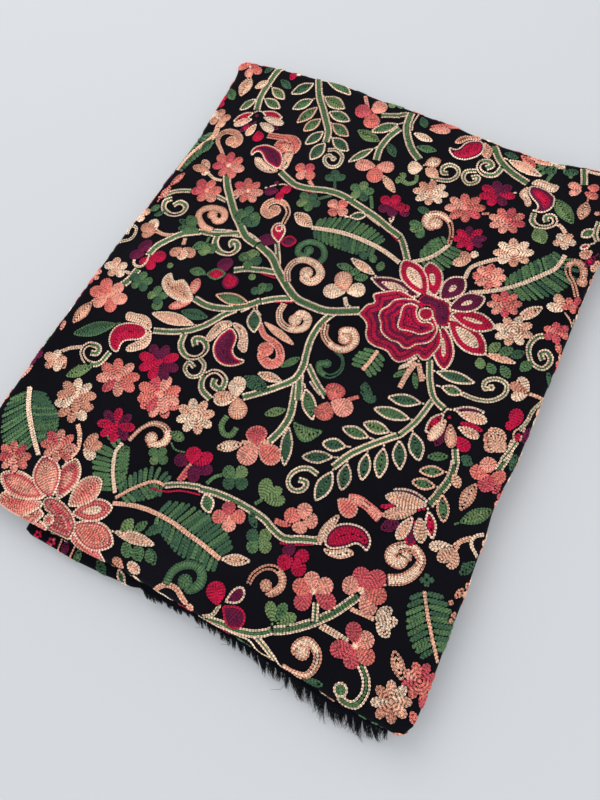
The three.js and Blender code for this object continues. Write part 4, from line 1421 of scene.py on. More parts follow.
def work_disc(work, words, corner, tone):
    x, y, width = numbers(words[:3])
    size = width * size_at(corner, x, y)
    fill_disc(work, place_at(corner, (x, y))[0], size, words[3], tone)


def work_flower(work, words, corner, tone):
    x, y, radius, count, turn = numbers(words[:5])
    angles = np.radians(turn + 360 * np.arange(int(count)) / count)
    tips_y = y + radius * corner[3] * np.sin(angles)
    tips = np.stack([x + radius * np.cos(angles), tips_y], -1)
    flower(work, place_at(corner, (x, y))[0], place_at(corner, tips), words[5], words[6], tone)


def work_open_flower(work, words, corner, tone):
    middle = place_at(corner, numbers(words[:2]))[0]
    flower(work, middle, place_at(corner, route(words[4:])), words[2], words[3], tone)


def work_line(work, words, corner, tone, swell=1.0):
    points = route(words[2:])
    width = float(words[0]) * size_at(corner, *points[0]) * swell
    fill_band(work, place_at(corner, points), (width, width), words[1][0], words[1][-1], tone)


def work_stem(work, words, corner, tone):
    """A line with a cream rim."""
    work_line(work, [words[0], "c" + words[1], *words[2:]], corner, tone, STEM_SWELL)


def work_hook(work, words, corner, tone):
    points = route(words[3:])
    size = size_at(corner, *points[len(points) // 2])
    start, end = numbers(words[:2])
    hook(work, place_at(corner, points), start * size, end * size, words[2], tone)


def work_fern(work, words, corner, tone):
    points = route(words[7:])
    size = size_at(corner, *points[len(points) // 2])
    width, first, second, begin, stop = numbers([words[0], *words[3:7]])
    fern(work, place_at(corner, points), width * size, words[1], words[2],
         (first * size, second * size), (begin, stop), tone)


def work_closed(work, words, corner, tone):
    outline = place_at(corner, route(words[1:]))
    fill_outline(work, outline, words[0], tone)


# %% Working the chart on the top cloth
FORM_OF = {"L": "leaf", "D": "petal", "P": "lobe", "B": "bud"}
WORKED_BY = {
    "O": work_disc, "F": work_flower, "G": work_open_flower, "S": work_stem, "T": work_line,
    "H": work_hook, "N": work_fern, "C": work_closed,
}
BEYOND_FOLDS = 60            # the cloth's two turned edges and their tucks, with room to spare


def work_entry(work, kind, words, corner):
    tone = rng.normal(0, TONE_SPREAD)
    if kind in FORM_OF:
        work_form(work, words, corner, FORM_OF[kind], tone)
    else:
        WORKED_BY[kind](work, words, corner, tone)
    work.close_motif()


top_work = Needlework(PACK_WIDTH + BEYOND_FOLDS, PACK_LENGTH + BEYOND_FOLDS, STITCH)
for kind, words, corner in read_chart(CHART):
    work_entry(top_work, kind, words, corner)
for start, end, letter in stalks:
    top_work.row([start, end], letter)
    top_work.close_motif()
print("stitches from the chart:", top_work.count())

# %% [markdown]
# ## Round the folds, out of the camera's sight
# The chart ends at the folds that the camera sees. The real work goes on over them, so
# beyond the chart the same kinds of flowers and leaves are set wherever the cloth is still
# free. A rule with a seeded choice does it, because nobody reads those motifs one by one.

# %% Small motifs for the sides
SPRIGS = (                   # colours of the petals, and of the eye
    ("ololo", "c"), ("cpcpt", "p"), ("kkmmk", "k"), ("gvgdg", "v"), ("oorlloro", "c"),
    ("ctptcptc", "p"),
)
SMALL_LEAVES = ("cg", "cd", "g", "d", "v", "pc")


def round_flower(work, centre, radius, turn, colours, eye_colour, tone):
    """One petal for each colour, all of one length."""
    angles = turn + 2 * math.pi * np.arange(len(colours)) / len(colours)
    tips = centre + radius * np.stack([np.cos(angles), np.sin(angles)], -1)
    flower(work, centre, tips, colours, eye_colour, tone)
    work.close_motif()


def sprig(work, centre, radius):
    turn = rng.uniform(0, 2 * math.pi)
    colours, eye_colour = SPRIGS[int(rng.integers(len(SPRIGS)))]
    tone = rng.normal(0, TONE_SPREAD)
    round_flower(work, centre, radius, turn, colours, eye_colour, tone)


def small_leaf(work, centre, reach):
    turn = rng.uniform(0, 2 * math.pi)
    way = np.array([math.cos(turn), math.sin(turn)]) * reach
    colours = SMALL_LEAVES[int(rng.integers(len(SMALL_LEAVES)))]
    fill_form(work, centre - way, centre + way, reach * 0.9, colours, "leaf",
              tone=rng.normal(0, TONE_SPREAD))
    work.close_motif()


# %% Setting them where the cloth is free
SCATTERED = ((9.5, sprig), (7.5, sprig), (5.5, small_leaf), (4.0, small_leaf))
BETWEEN = 0.6                # bare wool between scattered motifs
EDGE_ON = 0.12               # cloth seen at a flatter angle than this counts as out of sight
IMAGE_EDGE = 6


def scatter(work, wanted, half, tries):
    for radius, maker in SCATTERED:
        places = rng.uniform(-1, 1, (tries, 2)) * half
        for place in places[wanted(places)]:
            if work.is_free(place, radius + BETWEEN):
                maker(work, place, radius)


def out_of_sight(places):
    """True where the camera doesn't see the cloth, or would see it only beside the image."""
    u, v = places.T
    point = on_top(u, v)
    by_u = on_top(u + SMALL, v) - point
    by_v = on_top(u, v + SMALL) - point
    normal = np.cross(by_u, by_v)
    to_eye = CAMERA - point
    facing = (normal * to_eye).sum(1)
    size = np.linalg.norm(normal, axis=1) * np.linalg.norm(to_eye, axis=1)
    x = to_picture(point)[:, 0]
    return (facing < EDGE_ON * size) | (x > IMAGE_WIDTH + IMAGE_EDGE) | (x < -IMAGE_EDGE)


CHARTED = len(top_work.rows)
TOP_TRIES = 9000
top_work.stitch = LONG_STITCH
scatter(top_work, out_of_sight, np.array([HALF_WIDTH + 8, HALF_LENGTH + 8]), TOP_TRIES)
print("stitches on the top cloth:", top_work.count())


# %% [markdown]
# ## One chain stitch
# The hook draws a loop of wool up through the cloth and the next loop holds it down. What
# shows is two bowed strands that leave one hole and meet again in the next. A curve with a
# bevel would give them hundreds of faces, and there are tens of thousands of stitches, so
# each strand is a slim spindle with three sides, made from a cylinder with a fan at each end.
# Its two end rings are drawn to one ring and its two centres to the two holes.

# %% Selecting as by hand
def clear_selection():
    bpy.ops.object.select_all(action="DESELECT")


def select_only(obj):
    clear_selection()
    obj.select_set(True)
    bpy.context.view_layer.objects.active = obj


# %% One strand of the loop
# Along the stitch, beside it and above the cloth, in shares of the stitch's length and width.
FIRST_HOLE = (-0.18, 0.08, 0.22)
NEXT_HOLE = (1.20, 0.22, 0.22)
BOW = (0.60, 0.33, 0.44)
BOW_WIDTH = 0.66
BOW_HEIGHT = 0.94


def strand(side):
    """A double pyramid on a triangle, thickest towards the far end of the loop."""
    clear_selection()
    bpy.ops.mesh.primitive_cylinder_add(vertices=3, radius=0.5, depth=1, end_fill_type="TRIFAN",
                                        rotation=(0, math.pi / 2, 0))
    obj = bpy.context.object
    bpy.ops.object.transform_apply(location=True, rotation=True, scale=True)
    for vertex in obj.data.vertices:
        x, y, z = vertex.co
        at_end = abs(y) < 1e-4 and abs(z) < 1e-4
        if at_end:
            along, beside, above = FIRST_HOLE if x < 0 else NEXT_HOLE
            vertex.co = (along, side * beside, above)
        else:
            along, beside, above = BOW
            vertex.co = (along, side * beside + BOW_WIDTH * y, above + BOW_HEIGHT * z)
    bpy.ops.object.mode_set(mode="EDIT")
    bpy.ops.mesh.select_all(action="SELECT")
    bpy.ops.mesh.remove_doubles(threshold=0.001)
    bpy.ops.mesh.quads_convert_to_tris()
    bpy.ops.mesh.normals_make_consistent(inside=False)
    bpy.ops.object.mode_set(mode="OBJECT")
    return obj


# %% Two strands joined to one stitch
left_strand = strand(1)
right_strand = strand(-1)
select_only(left_strand)
right_strand.select_set(True)
bpy.ops.object.join()
stitch_form = bpy.context.object
FORM = np.array([v.co for v in stitch_form.data.vertices])
FACES = np.array([p.vertices for p in stitch_form.data.polygons if len(p.vertices) == 3])
bpy.data.objects.remove(stitch_form)
print("one stitch:", len(FORM), "points,", len(FACES), "triangles")


# %% [markdown]
# ## Many stitches as one piece
# The stitch is copied along every row. Copying it as objects would take minutes and leave
# thousands of pieces, so its points are repeated with numpy and each family of thread gets
# one mesh. Each copy is stretched to its own length and differs a little in height and lean,
# as hand work does.

# %% A mesh from arrays
def mesh_object(name, points, faces):
    """A mesh of triangles from arrays."""
    mesh = bpy.data.meshes.new(name)
    mesh.vertices.add(len(points))
    mesh.vertices.foreach_set("co", np.asarray(points, np.float32).ravel())
    mesh.loops.add(faces.size)
    mesh.loops.foreach_set("vertex_index", faces.astype(np.int32).ravel())
    mesh.polygons.add(len(faces))
    mesh.polygons.foreach_set("loop_start", np.arange(0, faces.size, 3, dtype=np.int32))
    mesh.update(calc_edges=True)
    mesh.polygons.foreach_set("use_smooth", np.ones(len(faces), bool))
    obj = bpy.data.objects.new(name, mesh)
    bpy.context.collection.objects.link(obj)
    return obj


# %% The stitches of many rows
LIFT_SPREAD = 0.06
THREAD_HEIGHT = 0.85
SWAY_SPREAD = 0.05


def stitch_arrays(rows, surface, lift_all):
    """Every stitch of the rows as points, with the facts that the thread's colour reads."""
    a = np.vstack([row[1] for row in rows])
    b = np.vstack([row[2] for row in rows])
    count = np.array([len(row[1]) for row in rows])
    place, shade, width = (np.repeat([row[k] for row in rows], count) for k in (3, 4, 5))
    middle = (a + b) / 2
    start = surface(a[:, 0], a[:, 1])
    end = surface(b[:, 0], b[:, 1])
    centre = surface(middle[:, 0], middle[:, 1])
    by_u = surface(middle[:, 0] + SMALL, middle[:, 1]) - centre
    by_v = surface(middle[:, 0], middle[:, 1] + SMALL) - centre
    normal = np.cross(by_u, by_v)
    normal /= np.linalg.norm(normal, axis=1)[:, None]
    along = end - start
    along -= normal * (along * normal).sum(1)[:, None]
    across = np.cross(normal, along)
    across /= np.maximum(1e-9, np.linalg.norm(across, axis=1))[:, None]
    lift = rng.uniform(-LIFT_SPREAD, LIFT_SPREAD, len(a))
    height = THREAD_HEIGHT * rng.uniform(0.85, 1.2, len(a))
    sway = rng.normal(0, SWAY_SPREAD, len(a))
    points = start[:, None] + (centre - (start + end) / 2)[:, None]
    points = points + along[:, None] * FORM[None, :, :1]
    side = FORM[None, :, 1:2] * width[:, None, None] + sway[:, None, None]
    points = points + across[:, None] * side
    rise = FORM[None, :, 2:] * height[:, None, None] + lift[:, None, None] + lift_all
    points = points + normal[:, None] * rise
    faces = FACES[None] + (np.arange(len(a)) * len(FORM))[:, None, None]
    noise = rng.uniform(0, 1, len(a))
    facts = np.stack([place, shade, noise], -1)
    facts = np.repeat(facts[:, None], len(FORM), 1)
    strand_place = np.broadcast_to(FORM[None], points.shape)
    return [values.reshape(-1, 3) for values in (points, faces, facts, strand_place)]


# %% [markdown]
# ## Materials
# The thread is dull, softly twisted wool in four families of colour, and the cloth is black
# twill with a little lint. An image of wool would tile and blur this close, so all of it is
# procedural. Colours are written as the eye sees them and turned into light here.

# %% Colours and a short way to write nodes
def light_of(code):
    parts = [int(code[i:i + 2], 16) / 255 for i in (1, 3, 5)]
    return [c / 12.92 if c <= 0.04045 else ((c + 0.055) / 1.055) ** 2.4 for c in parts]


class Nodes:
    """A short way to write a material's nodes."""

    def __init__(self, name):
        self.material = bpy.data.materials.new(name)
        self.material.use_nodes = True
        self.tree = self.material.node_tree
        self.shader = self.tree.nodes["Principled BSDF"]

    def add(self, kind, **values):
        node = self.tree.nodes.new(kind)
        for key, value in values.items():
            setattr(node, key, value)
        return node

    def link(self, source, target):
        self.tree.links.new(source, target)

    def value(self, socket, value):
        if hasattr(value, "is_output"):
            self.link(value, socket)
        else:
            socket.default_value = value

    def math(self, operation, a, b=0.0, c=0.0):
        node = self.add("ShaderNodeMath", operation=operation)
        for socket, value in zip(node.inputs, (a, b, c)):
            self.value(socket, value)
        return node.outputs[0]

    def noise(self, vector, scale, detail=2.0):
        node = self.add("ShaderNodeTexNoise")
        self.link(vector, node.inputs["Vector"])
        node.inputs["Scale"].default_value = scale
        node.inputs["Detail"].default_value = detail
        return node.outputs["Fac"]

    def ramp(self, factor, stops):
        node = self.add("ShaderNodeValToRGB")
        ramp = node.color_ramp
        while len(ramp.elements) < len(stops):
            ramp.elements.new(0.5)
        for element, (place, code) in zip(ramp.elements, stops):
            element.position = place
            element.color = (*light_of(code), 1)
        self.link(factor, node.inputs["Fac"])
        return node.outputs["Color"]

    def scaled(self, colour, factor):
        node = self.add("ShaderNodeVectorMath", operation="SCALE")
        self.link(colour, node.inputs[0])
        self.value(node.inputs["Scale"], factor)
        return node.outputs[0]

    def bump(self, height, strength, distance):
        node = self.add("ShaderNodeBump")
        node.inputs["Strength"].default_value = strength
        node.inputs["Distance"].default_value = distance
        self.link(height, node.inputs["Height"])
        self.link(node.outputs["Normal"], self.shader.inputs["Normal"])

    def set(self, **values):
        """Sets the shader's inputs, whose names are given with _ for each space."""
        for name, value in values.items():
            self.shader.inputs[name.replace("_", " ")].default_value = value

    def object_place(self):
        return self.add("ShaderNodeTexCoord").outputs["Object"]


# %% [markdown]
# ## The embroidery thread
# Each stitch carries three facts in an attribute: its place in its family from light to dark,
# the tone of its motif and a chance of its own. They colour it, so neighbours differ as
# skeins do. A fine noise mottles the thread's lightness at random and darkens it in specks as
# painted shade for the dark holes between the loops, and a sine along each strand gives it the
# ply of the yarn.

# %% Thread
THREAD_STOPS = {
    "cream": ((0.0, "#FFDEC0"), (0.5, "#F8BE9E"), (1.0, "#DE9A7E")),
    "coral": ((0.0, "#F8AC95"), (0.5, "#EE8171"), (1.0, "#D85962")),
    "crimson": ((0.0, "#D20442"), (1.0, "#6A083E")),
    "green": ((0.0, "#80965F"), (0.5, "#5C8052"), (1.0, "#406448")),
}
MOTTLE_AND_GAP_SHADE_SCALE = 900
MOTTLE_AND_GAP_SHADE = (3.1, -0.43)          # how strongly the mottle and the painted shade between the loops show, and what brings its mean back to 1
MOTTLE_AND_GAP_SHADE_LEAST, MOTTLE_AND_GAP_SHADE_MOST = 0.3, 1.42
PLY_ALONG = 46
PLY_ACROSS = 9
PLY_DEPTH = 0.00012


def thread_material(family):
    n = Nodes("thread_" + family)
    facts = n.add("ShaderNodeAttribute", attribute_name="thread")
    split = n.add("ShaderNodeSeparateXYZ")
    n.link(facts.outputs["Vector"], split.inputs[0])
    place, shade, noise = split.outputs
    speckle_and_gap_shade = n.noise(n.object_place(), MOTTLE_AND_GAP_SHADE_SCALE, 2)
    shifted = n.math("ADD", place, n.math("MULTIPLY", n.math("SUBTRACT", noise, 0.5), 0.35))
    colour = n.ramp(shifted, THREAD_STOPS[family])
    # Painted shade: the fine noise darkens the thread in random specks that stand for the shaded
    # holes between the loops, and it also mottles the wool.
    lightness_and_gap_shade = n.math("MULTIPLY_ADD", speckle_and_gap_shade, *MOTTLE_AND_GAP_SHADE)
    lightness_and_gap_shade = n.math("ADD", lightness_and_gap_shade, shade)
    lightness_and_gap_shade = n.math("ADD", lightness_and_gap_shade, n.math("MULTIPLY", n.math("SUBTRACT", noise, 0.5), 0.30))
    lightness_and_gap_shade = n.math("MAXIMUM", n.math("MINIMUM", lightness_and_gap_shade, MOTTLE_AND_GAP_SHADE_MOST), MOTTLE_AND_GAP_SHADE_LEAST)
    n.link(n.scaled(colour, lightness_and_gap_shade), n.shader.inputs["Base Color"])
    n.set(Roughness=0.6, Specular_IOR_Level=0.2, Sheen_Weight=0.05, Sheen_Roughness=0.4)
    strand_at = n.add("ShaderNodeAttribute", attribute_name="strand")
    parts = n.add("ShaderNodeSeparateXYZ")
    n.link(strand_at.outputs["Vector"], parts.inputs[0])
    along = n.math("MULTIPLY", parts.outputs[0], PLY_ALONG)
    twist = n.math("MULTIPLY_ADD", parts.outputs[2], PLY_ACROSS, along)
    n.bump(n.math("SINE", twist), 0.5, PLY_DEPTH)
    return n.material


# %% [markdown]
# ## The black wool
# The ground is a fine twill, whose yarns cross in diagonal ribs. The ribs read the cloth's own
# map, in metres along the cloth, so they keep their size and run on over the folds. Wool this
# dark is given its depth by a very low sheen, and a high one would turn it grey.

# %% Wool
CLOUD_SCALE = 18
LINT_SCALE = 900
RIBS = 7400                  # radians a metre: ribs about 0.85 mm apart
YARNS = 11000
RIB_DEPTH = 0.00015


def wool_material(name, dark, light, hair):
    """Fine black twill: diagonal ribs of yarn, a little lint and a soft nap."""
    n = Nodes(name)
    where = n.object_place()
    cloud = n.noise(where, CLOUD_SCALE, 3)
    lint = n.noise(where, LINT_SCALE, 1)
    colour = n.ramp(cloud, ((0.3, dark), (0.75, light)))
    n.link(n.scaled(colour, n.math("MULTIPLY_ADD", lint, 0.9, 0.6)), n.shader.inputs["Base Color"])
    n.set(Roughness=0.85, Specular_IOR_Level=0.04, Sheen_Weight=hair, Sheen_Roughness=0.45)
    n.set(Sheen_Tint=(0.55, 0.62, 0.85, 1))
    on_cloth = n.add("ShaderNodeUVMap", uv_map="cloth")
    parts = n.add("ShaderNodeSeparateXYZ")
    n.link(on_cloth.outputs["UV"], parts.inputs[0])
    diagonal = n.math("ADD", parts.outputs[0], parts.outputs[1])
    rib = n.math("SINE", n.math("MULTIPLY", diagonal, RIBS))
    yarn = n.math("SINE", n.math("MULTIPLY", parts.outputs[0], YARNS))
    n.bump(n.math("MULTIPLY_ADD", yarn, 0.4, rib), 0.5, RIB_DEPTH)
    return n.material


WOOL = wool_material("wool", "#060509", "#0B0A0F", 0.015)
PLAIN = wool_material("plain_wool", "#05060A", "#0A0B12", 0.012)
THREAD_MATERIALS = {family: thread_material(family) for family in FAMILIES}
print("materials:", sorted(m.name for m in bpy.data.materials))


# %% [markdown]
# ## The embroidery as pieces
# Each family of thread is one piece on each half of the cloth, which keeps every piece light
# enough to export whole. The pieces ride with the pack, as the cloth under them does.

# %% Laying rows of stitches on a surface
def own_point_facts(obj, name, values):
    layer = obj.data.attributes.new(name, "FLOAT_VECTOR", "POINT")
    layer.data.foreach_set("vector", np.asarray(values, np.float32).ravel())


def embroider(name, rows, surface, lift=GROUND_LIFT):
    made = []
    print(name, "stitches in all", sum(len(row[1]) for row in rows))
    for family in FAMILIES:
        mine = [row for row in rows if row[0] == family]
        if not mine:
            continue
        points, faces, facts, strand_place = stitch_arrays(mine, surface, lift)
        obj = mesh_object(f"{name}_{family}", to_frame(points), faces)
        own_point_facts(obj, "thread", facts)
        own_point_facts(obj, "strand", strand_place)
        obj.data.materials.append(THREAD_MATERIALS[family])
        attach(obj, "root")
        made.append(obj)
        print(obj.name, "triangles", len(faces))
    return made


# %% The stitches of the top cloth
charted = top_work.rows[:CHARTED]
back_rows = [row for row in charted if row[1][:, 1].mean() > 0]
front_rows = [row for row in charted if row[1][:, 1].mean() <= 0]
top_threads = embroider("stitches_back", back_rows, on_top)
top_threads += embroider("stitches_front", front_rows, on_top)
top_threads += embroider("stitches_side", top_work.rows[CHARTED:], on_top)


# %% [markdown]
# ## The cloth
# Each layer that shows is one thin sheet of wool, bent round its fold. A cloth simulation
# could drape it, but this pack lies pressed and still, so the sheet is shaped by the same
# curves as the solids. It starts as a flat grid, as a cut piece does. Its rows become rings
# round the pack or strips along it, it is closed at its seam, and Solidify gives it its
# thickness on the inner side.

# %% From a flat grid to a sheet of wool
WELD = 2e-6


def cloth_piece(name, across, down, surface, thick, material, nodes, seam):
    """surface(s, t) gives points in mm and places on the cloth for s and t from 0 to 1."""
    clear_selection()
    bpy.ops.mesh.primitive_grid_add(x_subdivisions=across, y_subdivisions=down, size=1)
    obj = bpy.context.object
    obj.name = name
    count = len(obj.data.vertices)
    flat = np.empty(count * 3, np.float32)
    obj.data.vertices.foreach_get("co", flat)
    flat = flat.reshape(-1, 3) + 0.5
    points, on_it = surface(np.clip(flat[:, 0], 0, 1), np.clip(flat[:, 1], 0, 1))
    obj.data.vertices.foreach_set("co", np.asarray(to_frame(points), np.float32).ravel())
    corner = np.empty(len(obj.data.loops), np.int32)
    obj.data.loops.foreach_get("vertex_index", corner)
    layer = obj.data.uv_layers[0]
    layer.name = "cloth"
    layer.data.foreach_set("uv", (on_it[corner] * MM).astype(np.float32).ravel())
    obj.data.update()
    if seam:
        bpy.ops.object.mode_set(mode="EDIT")
        bpy.ops.mesh.select_all(action="SELECT")
        bpy.ops.mesh.remove_doubles(threshold=WELD)
        bpy.ops.mesh.normals_make_consistent(inside=False)
        bpy.ops.object.mode_set(mode="OBJECT")
    bpy.ops.object.shade_smooth()
    shell = obj.modifiers.new("thickness", "SOLIDIFY")
    shell.thickness = thick * MM
    shell.offset = -1
    shell.use_even_offset = False
    bpy.ops.object.modifier_apply(modifier=shell.name)
    obj.data.materials.append(material)
    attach(obj, "root")
    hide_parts(*nodes)
    print(name, "triangles", sum(len(p.vertices) - 2 for p in obj.data.polygons))
    return obj


# %% [markdown]
# ## The top and the bottom cloth
# The outermost layer covers the pack and turns under on all four sides, and the lowest one
# turns up in the same way with a tighter fold. Both are made of rings from the middle out,
# with most rings at the folds, where the cloth bends.

# %% Rings round the pack
TOP_RINGS = 56
BOTTOM_RINGS = 18
RIM_STEPS = 220
FLAT_SHARE = 0.6             # the share of the rings that lies flat, inside the folds
BOTTOM_LIFT = -1.1           # leaves room for the stitches between the wool and the floor
rim, RIM_LENGTH = rim_table(2000)


def around(s):
    places = np.linspace(0, 1, len(rim))
    return [np.interp(s, places, rim[:, i]) for i in range(4)]


def panel_surface(panel, radius, edge_inset, lift):
    soft = CORNER_RADIUS - radius - edge_inset
    arc = math.pi * radius + TUCK

    def surface(s, t):
        x, y, dx, dy = around(s)
        inner = np.clip(t / FLAT_SHARE, 0, 1)
        past = np.clip((t - FLAT_SHARE) / (1 - FLAT_SHARE), 0, 1) * arc
        u = np.where(t < FLAT_SHARE, (x + dx * soft) * inner, x + dx * (soft + past))
        v = np.where(t < FLAT_SHARE, (y + dy * soft) * inner, y + dy * (soft + past))
        return panel(u, v, lift), np.stack([u, v], -1)

    return surface


# %% The two outer layers
top_cloth = cloth_piece(
    "top_cloth", RIM_STEPS, TOP_RINGS, panel_surface(on_top, TOP_FOLD, 0, GROUND_LIFT),
    GROUND_THICK, WOOL, ["top_panel"], True)
bottom_cloth = cloth_piece(
    "bottom_cloth", RIM_STEPS, BOTTOM_RINGS,
    panel_surface(on_bottom, BOTTOM_FOLD, BOTTOM_INSET, BOTTOM_LIFT),
    GROUND_THICK, WOOL, ["bottom_panel"], True)

# %% [markdown]
# ## The inner folds
# Between the two outer layers the edges of the inner ones show as two soft rolls with a deep
# crease between them. Nobody can see how each layer runs on inside, so one band goes all
# round, and at the front it lies back, where the fringed end comes out.

# %% The inner folds
UPPER_FOLD = {"inset": 1.6, "wave": 0.9, "waves": 5, "phase": 0.4}
LOWER_FOLD = {"inset": 0.9, "wave": 0.7, "waves": 7, "phase": 2.1}
CREASE_DEPTH = 2.6
RECESS_START = -112
RECESS_DEPTH = 22
INNER_WALK = 14              # the way down over both folds
INNER_STEPS = 260
INNER_RINGS = 18


def inner_surface_at(s, t):
    x, y, dx, dy = around(s)
    turn = 2 * math.pi * s
    place = np.clip(t * 2, 0, 2)
    upper = place < 1
    half = (INNER_TOP - INNER_BOTTOM) / 2
    within = np.where(upper, place, place - 1)
    angle = np.pi * within
    bulge = np.sin(angle)
    height = np.where(upper, INNER_TOP - half / 2, INNER_BOTTOM + half / 2)
    height = height + half / 2 * np.cos(angle)
    inset = np.zeros_like(s)
    for fold, mine in ((UPPER_FOLD, upper), (LOWER_FOLD, ~upper)):
        wave = fold["wave"] * np.sin(fold["waves"] * turn + fold["phase"])
        ripple = 0.35 * np.sin(23 * turn + fold["phase"]) * np.sin(11 * turn)
        inset = np.where(mine, fold["inset"] + wave + ripple, inset)
    inset = inset + CREASE_DEPTH * (1 - bulge)
    front = np.clip((-dy - 0.9) / 0.1, 0, 1) * np.clip((x - RECESS_START) / 4, 0, 1)
    inset = inset * (1 - front) + RECESS_DEPTH * front
    reach = CORNER_RADIUS - inset
    px, py = settle(x + dx * reach, y + dy * reach)
    return np.stack([px, py, height], -1)


def inner_surface(s, t):
    return inner_surface_at(s, t), np.stack([s * RIM_LENGTH, t * INNER_WALK], -1)


inner_folds = cloth_piece(
    "inner_folds", INNER_STEPS, INNER_RINGS, inner_surface, GROUND_THICK, WOOL,
    ["hidden_layers"], True)

# %% [markdown]
# ## The second fold and the plain end
# Both lie under the front edge of the top fold. The second fold is embroidered and the shawl's
# end is plain, because the work stops a finger's width before the fringe. Each is a strip of
# cloth along the front edge: its short way goes round the fold's nose, so a grid serves again.

# %% The second fold
SECOND_TOP = INNER_TOP - CLOTH - SEAM_GAP
SECOND_LINE = (
    (-106, 7), (-100, 8.6), (-70, 9.2), (-40, 8.8), (-20, 7.6), (-4, 3), (30, 1), (90, 1.6),
    (150, 0.8),
)
FLAP_LINE = (
    (-15, -4), (-14, 1.2), (-11, 4), (-5, 5.4), (10, 4), (35, 2.2), (60, 2.4), (90, 3.2),
    (125, 3.8), (150, 2.6), (161, 1.2),
)
LAYER_BACK = -20
SECOND_START = -106
SECOND_SPAN = 256
FLAP_START = -15
FLAP_SPAN = 176
FLAP_HEIGHT = 12.2
STRIP_THICK = 0.9


def front_point(x, out, height):
    x, out, height = np.broadcast_arrays(x, out, height)
    px, py = settle(x, -(HALF_LENGTH + out))
    return np.stack([px, py, height], -1)


def second_surface_at(x, walked, lift=0.0):
    """The second fold: walked runs from its upper back edge round the nose to the lower one."""
    radius = (SECOND_TOP - INNER_BOTTOM) / 2
    middle = (SECOND_TOP + INNER_BOTTOM) / 2
    pinch = 0.35 + 0.65 * np.sqrt(np.clip((x + 106.5) / 5, 0, 1))
    out = read_table(SECOND_LINE, x) - radius
    depth = out - LAYER_BACK
    arc = math.pi * radius
    angle = np.clip((walked - depth) / radius, 0, math.pi)
    before = np.clip(walked, 0, depth)
    after = np.clip(walked - depth - arc, 0, None)
    place = LAYER_BACK + before - after + (radius + lift) * np.sin(angle)
    sag = 0.35 * np.sin(x / 9) * np.sin(x / 23)
    height = middle + pinch * (radius + lift) * np.cos(angle) + sag
    return front_point(x, place, height)


def second_surface(s, t):
    x = SECOND_START + SECOND_SPAN * s
    out = read_table(SECOND_LINE, x)
    radius = (SECOND_TOP - INNER_BOTTOM) / 2
    whole = 2 * (out - radius - LAYER_BACK) + math.pi * radius
    walked = (1 - t) * whole
    return second_surface_at(x, walked, GROUND_LIFT), np.stack([x, walked], -1)


second_cloth = cloth_piece(
    "second_fold_cloth", 120, 26, second_surface, STRIP_THICK, WOOL,
    ["second_fold"], False)


# %% The plain end
def flap_surface(s, t):
    x = FLAP_START + FLAP_SPAN * s
    out = read_table(FLAP_LINE, x)
    place = out - (out - LAYER_BACK) * t
    ripple = 0.35 * np.sin(x / 6.5) * np.clip(place / 4, 0, 1)
    height = FLAP_HEIGHT + ripple - 0.5 * np.clip(place / 5, 0, 1)
    return front_point(x, place, height), np.stack([x, place], -1)


plain_end = cloth_piece(
    "plain_end", 130, 10, flap_surface, STRIP_THICK, PLAIN, ["fringed_end"],
    False)

# %% [markdown]
# ## The fringe
# The fringe is the shawl's own warp, left loose where the weaving stops, and it has gathered
# into pointed locks. A hair system would have to be baked to a mesh, and its look would hang
# on render settings. Each fibre is a slim tube with three sides instead, and a share of them
# leans towards the middle of its lock. A few strays lie across the others.

# %% Where the fibres run
FRINGE_LENGTH = (
    (-13, 3), (-6, 5), (4, 5.5), (16, 4), (30, 5.5), (48, 7.5), (66, 9), (84, 11), (100, 10.5),
    (120, 13), (140, 14), (152, 13), (161, 8),
)
FIBRES = 2300
FIBRE_RINGS = 5
STRAYS = 8
LOCK = 2.5
FRINGE_START = -13
FRINGE_END = 161
FIBRE_RADIUS = 0.24
ROOT_HEIGHT = 11.9
LOWEST = 0.5                 # a fibre's middle never lies lower than this over the floor


def fibre_paths():
    """Roots, lengths, leans and curls of the fibres, gathered in pointed locks."""
    x = rng.uniform(FRINGE_START, FRINGE_END, FIBRES)
    lock = np.round(x / LOCK) * LOCK + 0.9 * np.sin(np.round(x / LOCK) * 2.3)
    vigour = 0.85 + 0.25 * np.sin(lock * 1.3) + 0.15 * np.sin(lock * 0.37 + 1)
    length = read_table(FRINGE_LENGTH, x) * vigour * rng.uniform(0.5, 1.1, FIBRES)
    lean = 0.34 + 0.26 * np.sin(lock * 2.1) + rng.normal(0, 0.12, FIBRES)
    gather = (lock - x) * rng.uniform(-0.2, 0.9, FIBRES)
    curl = rng.normal(0, 0.05, FIBRES)
    stray = np.arange(FIBRES) < STRAYS
    length = np.where(stray, length * 1.5, length)
    lean = np.where(stray, rng.uniform(-1.4, -0.5, FIBRES), lean)
    curl = np.where(stray, rng.uniform(-0.25, 0.25, FIBRES), curl)
    return x, length, lean, curl, gather


